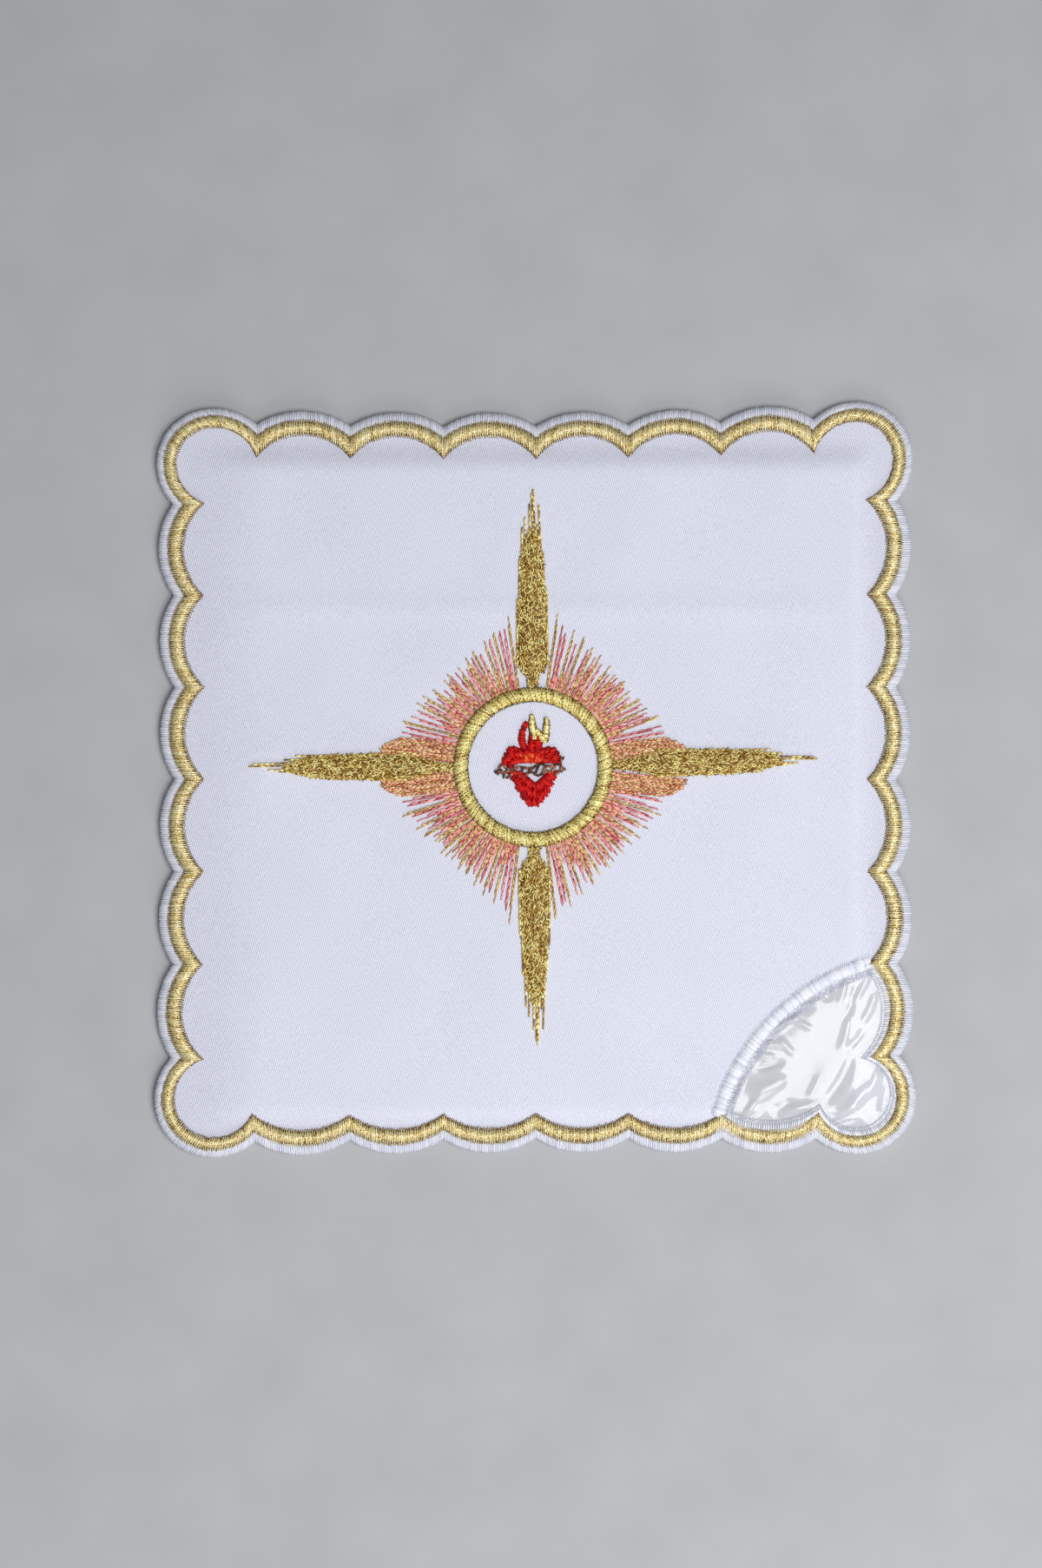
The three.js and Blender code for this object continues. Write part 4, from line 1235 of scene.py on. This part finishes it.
def scatter_tree():
    """The tree that scatters short arched threads over a leaf."""
    tree, start, end, keys = new_tree(
        "short_stitch_fill",
        ("Spacing", "Float", 0.0005),
        ("Stitch length", "Float", 0.0012),
        ("Arch", "Float", 0.0003),
        ("Thread radius", "Float", 0.00017),
        ("Turn", "Float", 0.0),
        ("Turn spread", "Float", 0.6),
        ("Seed", "Int", 0),
        ("Finish", "Material", None),
    )
    size = start.outputs
    line = put(tree, "GeometryNodeCurvePrimitiveLine", {"Start": (-0.5, 0, 0), "End": (0.5, 0, 0)})
    marks = put(tree, "GeometryNodeResampleCurve", {"Curve": line.outputs[0], "Count": 4}).outputs[0]
    along = put(tree, "GeometryNodeSplineParameter").outputs["Factor"]
    marked = store(tree, marks, "along", along, "POINT")
    rise = sum_of(tree, "SINE", sum_of(tree, "MULTIPLY", along, math.pi))
    high = sum_of(tree, "MULTIPLY", rise, size["Arch"])
    far = sum_of(tree, "MULTIPLY", sum_of(tree, "SUBTRACT", along, 0.5), size["Stitch length"])
    place = put(tree, "ShaderNodeCombineXYZ", {"X": far, "Z": high}).outputs[0]
    bent = put(tree, "GeometryNodeSetPosition", {"Geometry": marked, "Position": place}).outputs[0]
    circle = put(tree, "GeometryNodeCurvePrimitiveCircle", {"Resolution": 4, "Radius": size["Thread radius"]})
    sweep = {"Curve": bent, "Profile Curve": circle.outputs[0], "Scale": 1.0, "Fill Caps": True}
    thread = put(tree, "GeometryNodeCurveToMesh", sweep).outputs[0]
    spread = {
        "Mesh": size["Geometry"],
        "Distance Min": size["Spacing"],
        "Density Max": MOST_DENSE,
        "Seed": size["Seed"],
    }
    scatter = "GeometryNodeDistributePointsOnFaces"
    spots = put(tree, scatter, spread, distribute_method="POISSON").outputs["Points"]
    least = sum_of(tree, "SUBTRACT", size["Turn"], size["Turn spread"])
    most = sum_of(tree, "ADD", size["Turn"], size["Turn spread"])
    angle = random_value(tree, least, most, size["Seed"])
    tilt = random_value(tree, -TILT_SPREAD, TILT_SPREAD, sum_of(tree, "ADD", size["Seed"], 7))
    turns = put(tree, "ShaderNodeCombineXYZ", {"Y": tilt, "Z": angle}).outputs[0]
    rotation = put(tree, "FunctionNodeEulerToRotation", {"Euler": turns}).outputs[0]
    long = random_value(tree, SHORTEST, LONGEST, sum_of(tree, "ADD", size["Seed"], 3))
    scale = put(tree, "ShaderNodeCombineXYZ", {"X": long, "Y": 1.0, "Z": 1.0}).outputs[0]
    lay = {"Points": spots, "Instance": thread, "Rotation": rotation, "Scale": scale}
    laid = put(tree, "GeometryNodeInstanceOnPoints", lay).outputs[0]
    shade = random_value(tree, 0.0, 1.0, sum_of(tree, "ADD", size["Seed"], 5))
    shaded = store(tree, laid, "shade", shade, "INSTANCE")
    finish_tree(tree, end, shaded, size["Finish"])
    return tree, keys


short_stitch_fill, scatter_keys = scatter_tree()
print("tree:", short_stitch_fill.name, "inputs:", list(scatter_keys))


# %% Long ray tables
UPRIGHT_RAY = [
    (17.4, 1.2), (19.8, 1.25), (20.8, 2.5), (22.4, 3.1), (28.0, 3.35), (34.0, 3.0), (40.0, 2.7),
    (45.4, 2.3), (48.4, 1.7), (50.6, 0.9), (52.0, 0.3),
]
LEVEL_RAY = [
    (17.4, 0.9), (22.0, 1.4), (26.0, 2.5), (29.0, 2.9), (36.0, 2.8), (42.0, 2.7), (48.5, 2.3),
    (51.0, 1.6), (53.0, 0.8), (54.5, 0.3),
]
UPRIGHT_WISPS = table(
    "at to start stop",
    (3.3, 3.1, 22, 38.5),
    (2.7, 2.5, 30, 44.0),
    (2.5, 1.5, 36, 56.8),
    (2.1, 1.2, 42, 52.5),
    (0.9, 0.3, 46, 60.2),
    (0.4, 0.0, 46, 59.2),
    (-0.4, -0.5, 46, 57.0),
    (-1.3, -1.5, 44, 54.1),
    (-2.4, -2.1, 36, 52.0),
    (-2.8, -2.7, 30, 45.0),
    (-3.3, -3.2, 22, 36.5),
)
LEVEL_WISPS = table(
    "at to start stop",
    (2.9, 2.9, 24, 35.5),
    (2.6, 2.4, 30, 51.5),
    (2.1, 1.5, 38, 54.0),
    (1.2, 0.5, 46, 60.8),
    (0.4, 0.1, 46, 61.6),
    (-0.5, -0.7, 46, 57.4),
    (-1.7, -1.0, 40, 55.0),
    (-2.8, -2.0, 26, 45.0),
)
LONG_RAYS = table(
    "side turn shape wisps flip",
    ("right", 1.6, LEVEL_RAY, LEVEL_WISPS, 1),
    ("top", 90.3, UPRIGHT_RAY, UPRIGHT_WISPS, -1),
    ("left", 180.0, LEVEL_RAY, LEVEL_WISPS, -1),
    ("bottom", 270.7, UPRIGHT_RAY, UPRIGHT_WISPS, 1),
)
print("long rays:", [row["side"] for row in LONG_RAYS])

# %% Leaves and running stitches
LEAF_DOME = [(-1.0, 0.0), (-0.85, 0.3), (-0.45, 0.52), (0.0, 0.6), (0.45, 0.52), (0.85, 0.3), (1.0, 0.0)]
LEAF = {"step": 0.6, "ragged": 0.08, "least_half": 0.15, "full_from": 1.2, "least_rise": 0.3}
LEAF_ABOVE, LEAF_BELOW = 0.15, 0.05
RUN_ARCH = 0.16
RUN_STEPS = 5
RUN_ENDS = (0.01, 0.99)


def along_ray(turn, far, aside):
    """Places on the face, given along a ray from the ring's middle and to its left."""
    forward = heading(math.radians(turn))
    left = np.array([-forward[1], forward[0]])
    return RING + np.outer(far, forward) + np.outer(aside, left)


def domed_leaf(row, seed):
    """A leaf over a ray's row of half widths, a little ragged, with a domed top."""
    rng = np.random.default_rng(seed)
    stations, halves = np.array(row["shape"]).T
    far = np.arange(stations[0], stations[-1], LEAF["step"])
    half = np.interp(far, stations, halves) + rng.normal(0, LEAF["ragged"], len(far))
    points = []
    for share, up in LEAF_DOME:
        spot = along_ray(row["turn"], far, share * np.maximum(half, LEAF["least_half"]))
        rise = up * np.clip(half / LEAF["full_from"], LEAF["least_rise"], 1)
        points.append(np.column_stack([spot, face_top(spot[:, 0], spot[:, 1]) + LEAF_ABOVE + rise]))
    return np.stack(points, axis=1)


def running_chains(start, stop, rng, long, level, uneven=0.06):
    """Running stitches in a row from one place to another, each a low arch with its ends in the cloth."""
    start, stop = np.asarray(start, float), np.asarray(stop, float)
    distance = np.hypot(*(stop - start))
    count = max(1, round(distance / long))
    cuts = np.linspace(0, 1, count + 1)
    cuts[1:-1] += rng.normal(0, uneven / count, count - 1)
    rows = []
    for a, b in zip(cuts, cuts[1:]):
        share = a + (b - a) * np.linspace(*RUN_ENDS, RUN_STEPS)
        spot = start + np.outer(share, stop - start)
        high = level + RUN_ARCH * np.sin(np.linspace(0, math.pi, RUN_STEPS))
        rows.append(raised(spot, high))
    return np.stack(rows)


# %% Long rays
WISP = {"long": 1.2, "level": 0.2, "radius": 0.23}


def long_ray(row, seed):
    """One long ray: its padding, the stitches scattered over it and the single ones at its tip."""
    name = f"gold_ray_{row['side']}_stitched"
    leaf = domed_leaf(row, seed)
    under = leaf[:, ::-1].copy()
    under[:, :, 2] = face_top(under[:, :, 0], under[:, :, 1]) - LEAF_BELOW
    fill = padding(name, np.concatenate([leaf, under[:, 1:-1]], axis=1), ray_thread, closed=False)
    count, across = leaf.shape[:2]
    faces = [
        (i * across + j, (i + 1) * across + j, (i + 1) * across + j + 1, i * across + j + 1)
        for i in range(count - 1)
        for j in range(across - 1)
    ]
    top = new_piece(name, leaf.reshape(-1, 3), faces, ray_thread)
    sizes = {
        "Spacing": 0.3 * MM,
        "Stitch length": 0.95 * MM,
        "Arch": 0.24 * MM,
        "Thread radius": 0.125 * MM,
        "Turn": math.radians(row["turn"]),
        "Turn spread": 1.1,
        "Seed": seed,
        "Finish": ray_thread,
    }
    stitches = to_scene(name, grown(top, short_stitch_fill, scatter_keys, sizes))
    rng = np.random.default_rng(seed)
    wisps = []
    for wisp in row["wisps"]:
        aside = row["flip"] * np.array([wisp["at"], wisp["to"]])
        ends = along_ray(row["turn"], [wisp["start"], wisp["stop"]], aside)
        wisps.append(running_chains(*ends, rng, long=WISP["long"], level=WISP["level"]))
    threads = sew(name + "_wisps", np.concatenate(wisps), ray_thread, WISP["radius"], seed=seed)
    piece = joined(name, stitches, fill, threads)
    hand_over(piece, f"gold_ray_{row['side']}")


for seed, row in enumerate(LONG_RAYS, start=21):
    long_ray(row, seed)

# %% [markdown]
# ## The thin rays
# Between the long rays stand four fans of running stitches, some pink and some gold. Each line is sewn
# out to its tip and back again along a slightly different way, so near the ring the lines cross and
# close up until the cloth no longer shows. The tips lie on the side of a diamond. Beside the two level
# rays the lines run side by side in a dense block with a round end. In the tables p stands for pink and
# g for gold.

# %% Thin ray tables
THIN_ORDER = "gppgpgpgpgpgpgpgpgpgpgppgpp"
KINDS = by_name(
    "kind diamond way_back long radius finish",
    ("p", 36.7, 0.38, 1.85, 0.185, pink_thread),
    ("g", 38.5, 0.7, 1.3, 0.165, thin_gold_thread),
)
THIN_ROOT = 16.9
ROOT_ANGLES = (10.2, 72.5)
TIP_ANGLES = (9.0, 74.7)
THIN_LEVEL, THIN_APART = 0.12, 0.06
RAY_JITTER = {"root": 0.4, "tip": 0.5, "reach": (0.97, 1.02), "apart": (0.6, 1.3), "back": (0.9, 0.99)}
BACK_TURN = 0.5
NEAR_RING = {
    "count": 56, "shortest": 2.5, "longest": 9.0, "long": 1.2, "level": 0.0, "pink": 0.6,
    "root_jitter": 0.5, "tip_jitter": 1.5, "reach": (0.6, 1.15),
}
BLOCK = {
    "lines": 17, "root": (1.0, 5.0), "tip": (2.8, 6.4), "reach": 33.6, "end_round": 4.6,
    "ragged_tip": 0.8, "ragged_root": 1.2, "long": 1.05, "level": 0.14, "uneven": 0.22,
}
FANS = table(
    "name sign seed",
    ("thin_rays_top_right", (1, 1), 31),
    ("thin_rays_top_left", (-1, 1), 32),
    ("thin_rays_bottom_left", (-1, -1), 33),
    ("thin_rays_bottom_right", (1, -1), 34),
)
print("thin rays in a fan:", len(THIN_ORDER))


# %% Thin rays
def fan_place(fan, radius, degrees):
    """A place in a fan, at an angle from the upright."""
    angle = math.radians(degrees)
    return RING + np.array(fan["sign"]) * radius * np.array([math.sin(angle), math.cos(angle)])


def between(ends, share):
    """The value at a share of the way from one end to the other."""
    return ends[0] + (ends[1] - ends[0]) * share


def out_and_back(fan, rng):
    """The thin rays of a fan, each sewn out to its tip and back beside its first line."""
    for i, letter in enumerate(THIN_ORDER):
        kind = KINDS[letter]
        share = i / (len(THIN_ORDER) - 1)
        root_angle = between(ROOT_ANGLES, share) + rng.normal(0, RAY_JITTER["root"])
        tip_angle = between(TIP_ANGLES, share) + rng.normal(0, RAY_JITTER["tip"])
        tip = math.radians(tip_angle)
        reach = kind["diamond"] * rng.uniform(*RAY_JITTER["reach"]) / (math.cos(tip) + math.sin(tip))
        end = fan_place(fan, reach, tip_angle)
        for side in (-1, 1):
            apart = side * kind["way_back"] * rng.uniform(*RAY_JITTER["apart"])
            root = fan_place(fan, THIN_ROOT, root_angle + apart)
            if side > 0:
                end = fan_place(fan, reach * rng.uniform(*RAY_JITTER["back"]), tip_angle + BACK_TURN)
            level = THIN_LEVEL + THIN_APART * side
            yield letter, running_chains(root, end, rng, long=kind["long"], level=level)


def near_ring(fan, rng):
    """Short pink and gold runs that close the cloth beside the ring, longest in the fan's middle."""
    for share in (np.arange(NEAR_RING["count"]) + 0.5) / NEAR_RING["count"]:
        angle = between(ROOT_ANGLES, share)
        most = between((NEAR_RING["shortest"], NEAR_RING["longest"]), math.sin(share * math.pi))
        root = fan_place(fan, THIN_ROOT, angle + rng.normal(0, NEAR_RING["root_jitter"]))
        reach = THIN_ROOT + most * rng.uniform(*NEAR_RING["reach"])
        end = fan_place(fan, reach, angle + rng.normal(0, NEAR_RING["tip_jitter"]))
        letter = "p" if rng.random() < NEAR_RING["pink"] else "g"
        yield letter, running_chains(root, end, rng, long=NEAR_RING["long"], level=NEAR_RING["level"])


def block_lines(fan, rng):
    """The dense lines beside a level ray, one pink to two gold."""
    sign = np.array(fan["sign"])
    for i in range(BLOCK["lines"]):
        share = i / (BLOCK["lines"] - 1)
        aside = between(BLOCK["root"], share)
        reach = BLOCK["reach"] - BLOCK["end_round"] * share**3 - rng.uniform(0, BLOCK["ragged_tip"])
        root_x = math.sqrt(THIN_ROOT**2 - aside**2) - rng.uniform(0, BLOCK["ragged_root"])
        root = RING + sign * np.array([root_x, aside])
        end = RING + sign * np.array([reach, between(BLOCK["tip"], share)])
        chains = running_chains(root, end, rng, BLOCK["long"], BLOCK["level"], BLOCK["uneven"])
        yield "pgg"[i % 3], chains


def thin_rays(fan):
    """One fan of thin rays, sewn as one piece in two colours."""
    rng = np.random.default_rng(fan["seed"])
    rows = {letter: [] for letter in KINDS}
    for make in (out_and_back, near_ring, block_lines):
        for letter, chains in make(fan, rng):
            rows[letter].append(chains)
    parts = []
    for letter, seed in zip(KINDS, (fan["seed"], fan["seed"] + 9)):
        kind = KINDS[letter]
        chains = np.concatenate(rows[letter])
        name = f"{fan['name']}_{letter}"
        parts.append(sew(name, chains, kind["finish"], kind["radius"], seed=seed, sides=4))
    hand_over(joined(fan["name"] + "_stitched", *parts), fan["name"])


for fan in FANS:
    thin_rays(fan)

# %% [markdown]
# ## The emblem
# The heart within the ring is a traditional church emblem. It is drawn here from simple rules: an upper
# part under a heart curve, a lower part that narrows to a blunt point with a small cut at its top, bowed
# flames, and a crown of two waving strands. Red stitches radiate to the outline of each part and end at
# uneven lengths, which gives it its teeth. A lower layer of thick stitches hides the cloth between them.

# %% Emblem shapes
EMBLEM = RING + np.array([-0.45, -2.0])
HEART_HALF = 6.2
HEART_FULLNESS = 1.8
HEART_STRETCH = 1.15
UPPER_EDGE = {"y": 2.9, "dip_x": -4.6, "dip_wide": 1.2, "dip": 1.1}
LOWER_PART = {"x": 0.5, "top": 1.1, "bottom": -6.5, "half": 5.2, "fullness": 0.5}
CUT = {"x": 0.9, "y": -1.5, "slope": 0.95}
WARM_PLACES = table(
    "x y half_wide half_high",
    (-0.2, 4.0, 2.7, 1.2),
    (-0.9, -1.3, 1.0, 1.3),
)
WARM_SHARE = 0.4


def heart_curve(turns):
    """The usual heart curve, 16 units to each side, made fuller and stretched upwards."""
    size = HEART_HALF / 16
    swing = np.sin(turns)
    x = 16 * np.sign(swing) * np.abs(swing) ** HEART_FULLNESS
    y = 13 * np.cos(turns) - 5 * np.cos(2 * turns) - 2 * np.cos(3 * turns) - np.cos(4 * turns)
    return np.column_stack([size * x, size * HEART_STRETCH * (y + 2.5)])


HEART_LINE = heart_curve(2 * math.pi * np.arange(90) / 90)


def on_upper(spots):
    """Which places lie on the heart's upper part."""
    from_dip = (spots[:, 0] - UPPER_EDGE["dip_x"]) / UPPER_EDGE["dip_wide"]
    dip = UPPER_EDGE["dip"] * np.exp(-(from_dip**2))
    return inside(spots, HEART_LINE) & (spots[:, 1] > UPPER_EDGE["y"] - dip)


def on_lower(spots):
    """Which places lie on the heart's lower part."""
    x, y = spots.T
    up = np.clip((y - LOWER_PART["bottom"]) / (LOWER_PART["top"] - LOWER_PART["bottom"]), 0, None)
    half = LOWER_PART["half"] * up ** LOWER_PART["fullness"]
    below_cut = y < CUT["y"] + CUT["slope"] * np.abs(x - CUT["x"])
    return (np.abs(x - LOWER_PART["x"]) < half) & (up < 1) & below_cut


print("heart line in mm:", size_of(HEART_LINE).round(1))

# %% Stitches of the emblem
RED_LINES = 190
RED_LONG = 2.0
RED_FARTHEST = 9.0
LOOKS_PER_LINE = 120
LEAST_LOOKS = 6
START_JITTER, STOP_JITTER = (-0.1, 0.2), (-0.6, 0.5)
LEFTOVER = 0.3
CUT_JITTER = 0.25
ARCH_STEPS = 5


def split_stitch(start, stop, rng, long):
    """Cuts a long run into stitches of about one length, at uneven places."""
    distance = np.hypot(*(stop - start))
    count = max(1, math.ceil(distance / long - LEFTOVER))
    cuts = np.linspace(0, 1, count + 1)
    cuts[1:-1] += rng.uniform(-CUT_JITTER, CUT_JITTER, count - 1) / count
    return [(start + (stop - start) * a, start + (stop - start) * b) for a, b in zip(cuts, cuts[1:])]


def radiating(part, middle, seed):
    """Stitches from a middle outwards, over the stretch of each line that lies on a part."""
    rng = np.random.default_rng(seed)
    away = np.linspace(0.1, RED_FARTHEST, LOOKS_PER_LINE)
    middle = np.array(middle)
    pairs = []
    for angle in 2 * math.pi * np.arange(RED_LINES) / RED_LINES:
        way = heading(angle)
        within = away[part(middle + np.outer(away, way))]
        if len(within) < LEAST_LOOKS:
            continue
        start = within[0] + rng.uniform(*START_JITTER)
        stop = within[-1] + rng.uniform(*STOP_JITTER)
        pairs += split_stitch(middle + way * start, middle + way * stop, rng, RED_LONG)
    return pairs


def arched(pairs, level, arch):
    """One arched chain for each pair of ends, which are given from the emblem's middle."""
    share = np.linspace(0, 1, ARCH_STEPS)
    chains = []
    for start, stop in pairs:
        spot = EMBLEM + start + np.outer(share, np.asarray(stop) - start)
        high = level + arch * np.sin(share * math.pi)
        chains.append(raised(spot, high))
    return np.stack(chains)


# %% Flames
FLAME_FOOT = 0.8
FLAME_SLANT = (-0.2, 0.35)
FLAME_JITTER = (0.88, 1.12)
ROUGH_COUNT = 30
LEAST_STITCHES = 5


def bowed_line(root, tip, bow, count):
    """A smooth line from root to tip whose middle is drawn aside."""
    root, tip = np.array(root), np.array(tip)
    side = (root + tip) / 2 + np.array([bow, 0])
    t = np.linspace(0, 1, count)[:, None]
    return (1 - t) ** 2 * root + 2 * t * (1 - t) * side + t**2 * tip


def flame_pairs(row, pitch, rng):
    """Satin stitches across a flame that narrows to its tip."""
    rough = bowed_line(row["root"], row["tip"], row["bow"], ROUGH_COUNT)
    count = max(LEAST_STITCHES, round(np.hypot(*np.diff(rough, axis=0).T).sum() / pitch))
    line = bowed_line(row["root"], row["tip"], row["bow"], count)
    along = np.linspace(0, 1, count)
    narrowed = row["blunt"] + (1 - row["blunt"]) * np.sqrt(1 - along)
    half = row["half"] * narrowed * (FLAME_FOOT + along * (1 - along))
    forward = np.gradient(line, axis=0)
    forward = forward / np.hypot(*forward.T)[:, None]
    slant = rng.uniform(*FLAME_SLANT, (count, 1))
    aside = np.column_stack([-forward[:, 1], forward[:, 0]]) * half[:, None] + forward * slant
    jitter = rng.uniform(*FLAME_JITTER, (2, count, 1))
    return list(zip(line + aside * jitter[0], line - aside * jitter[1]))


RED_FLAMES = table(
    "root tip bow half blunt",
    ((-0.8, 5.0), (-1.0, 11.5), -2.2, 0.8, 0.65),
    ((0.1, 4.0), (0.1, 9.2), -0.1, 1.1, 0.2),
    ((1.2, 4.4), (1.5, 8.6), 0.1, 1.4, 0.2),
)
GOLD_FLAMES = table(
    "root tip bow half blunt",
    ((0.85, 8.2), (0.2, 13.2), -0.5, 1.0, 0.4),
    ((2.9, 7.5), (1.1, 10.0), 0.2, 0.95, 0.5),
    ((3.1, 8.0), (3.4, 12.5), 0.1, 0.8, 0.7),
)

print("red flames:", len(RED_FLAMES), "gold flames:", len(GOLD_FLAMES))

# %% Sew the heart
RED_PITCH = 0.3
GOLD_FLAME_PITCH = 0.2
HEART_THREAD = 0.21
UNDER = {"level": 0.08, "arch": 0.3}
UNDER_RADIUS = 0.3
SHOWN = {"level": 0.25, "arch": 0.5}
WARM_ABOVE = 0.03
rng = np.random.default_rng(41)
upper_pairs = radiating(on_upper, (0.3, 1.8), seed=41)
lower_pairs = radiating(on_lower, (0.5, 2.2), seed=42)
red_flame_pairs = [pair for row in RED_FLAMES for pair in flame_pairs(row, RED_PITCH, rng)]
gold_flame_pairs = [pair for row in GOLD_FLAMES for pair in flame_pairs(row, GOLD_FLAME_PITCH, rng)]


def is_warm(pair, rng):
    """Whether a stitch is drawn orange: some of those in the warm places are."""
    x, y = (pair[0] + pair[1]) / 2
    near = [
        ((x - place["x"]) / place["half_wide"]) ** 2 + ((y - place["y"]) / place["half_high"]) ** 2 < 1
        for place in WARM_PLACES
    ]
    return any(near) and rng.random() < WARM_SHARE


def stitched_patch(node, pairs, finish, seed, warm=None):
    """Two layers of stitches: a thick low one that hides the cloth, and the one that shows."""
    name = node + "_stitched"
    rng = np.random.default_rng(seed)
    mixed = [warm is not None and is_warm(pair, rng) for pair in pairs]
    under = arched(pairs, **UNDER)
    parts = [sew(name + "_under", under, finish, UNDER_RADIUS, seed=seed, spread=0.2, sides=4)]
    for kind, thread in ((False, finish), (True, warm)):
        chosen = [pair for pair, is_mixed in zip(pairs, mixed) if is_mixed == kind]
        if chosen:
            chains = arched(chosen, SHOWN["level"] + WARM_ABOVE * kind, SHOWN["arch"])
            parts.append(sew(name, chains, thread, HEART_THREAD, seed=seed + 1 + kind, thin=0.6))
    hand_over(joined(name, *parts), node)


stitched_patch("heart_upper", upper_pairs + red_flame_pairs, red_thread, 43, orange_thread)
stitched_patch("heart_lower", lower_pairs, red_thread, 45, orange_thread)
stitched_patch("gold_flames", gold_flame_pairs, ring_thread, 47)

# %% Crown tables
STRANDS = table(
    "from_x to_x y rise swing wave start",
    (-5.4, 6.3, 2.0, 0.1, 0.4, 4.6, -1.2),
    (-5.4, 6.1, 0.45, 0.07, 0.55, 3.5, 1.8),
)
LINKS_AT = [-3.9, -2.5, -0.6, 0.9, 2.4, 4.4]
LINK_LEAN = 0.9
THORNS = table(
    "x y turn long",
    (-8.0, 1.0, 12, 1.6),
    (-7.7, 0.6, 32, 1.6),
    (-7.2, 0.3, 62, 1.4),
    (-6.4, 2.7, -112, 1.5),
    (-6.1, 2.6, -42, 1.2),
    (-6.7, 1.7, -62, 1.5),
    (-6.4, 0.6, 12, 1.4),
    (-5.7, 0.9, -100, 1.4),
    (-5.4, 2.1, -72, 0.9),
    (-6.9, 1.1, -12, 1.1),
    (6.5, 4.2, -92, 1.1),
    (6.4, 3.2, -86, 1.1),
    (6.6, 2.2, -88, 1.2),
    (6.4, 3.5, 38, 1.0),
    (7.5, 1.4, 152, 1.1),
    (6.6, 0.9, 70, 0.9),
    (5.6, 2.7, -22, 1.1),
    (5.6, 1.0, 8, 1.0),
)
print("thorns:", len(THORNS))

# %% Crown of thorns
STRAND_STITCH = 0.8
STRAND_WANDER = 0.06
CROWN = {"level": 0.3, "arch": 0.35}
CROWN_RADIUS = 0.32


def strand_height(strand, x):
    """How high a strand runs on the emblem at a place along it."""
    swing = strand["swing"] * np.sin(2 * math.pi * x / strand["wave"] + strand["start"])
    return strand["y"] + strand["rise"] * x + swing


def crown_pairs(rng):
    """The stitches of the two strands, the links between them and the thorns."""
    pairs = []
    for strand in STRANDS:
        count = round((strand["to_x"] - strand["from_x"]) / STRAND_STITCH)
        x = np.linspace(strand["from_x"], strand["to_x"], count + 1)
        spots = np.column_stack([x, strand_height(strand, x)]) + rng.normal(0, STRAND_WANDER, (count + 1, 2))
        pairs += list(zip(spots[:-1], spots[1:]))
    for x in LINKS_AT:
        low = np.array([x, strand_height(STRANDS[1], x)])
        high = np.array([x + LINK_LEAN, strand_height(STRANDS[0], x + LINK_LEAN)])
        pairs.append((low, high))
    for thorn in THORNS:
        root = np.array([thorn["x"], thorn["y"]])
        pairs.append((root, root + thorn["long"] * heading(math.radians(thorn["turn"]))))
    return pairs


crown_chains = arched(crown_pairs(np.random.default_rng(49)), **CROWN)
crown = sew("crown_of_thorns_stitched", crown_chains, brown_thread, CROWN_RADIUS, seed=49)
hand_over(crown, "crown_of_thorns")

# %% [markdown]
# ## Handing the pieces over
# Every piece rides on the pall's one body. All of them stand for a imported solid, apart from the stitches
# round the film, which have none. The two cloths and the film are sheets, and the size each was cut to is
# worked out.

face_size, back_size, film_size = (tuple(size_of(line) * MM) for line in (face_line, cloth_line, film_line))

hand_over(face_cloth, "face_cloth")
hand_over(back_cloth, "back_cloth")
hand_over(film, "window_film")
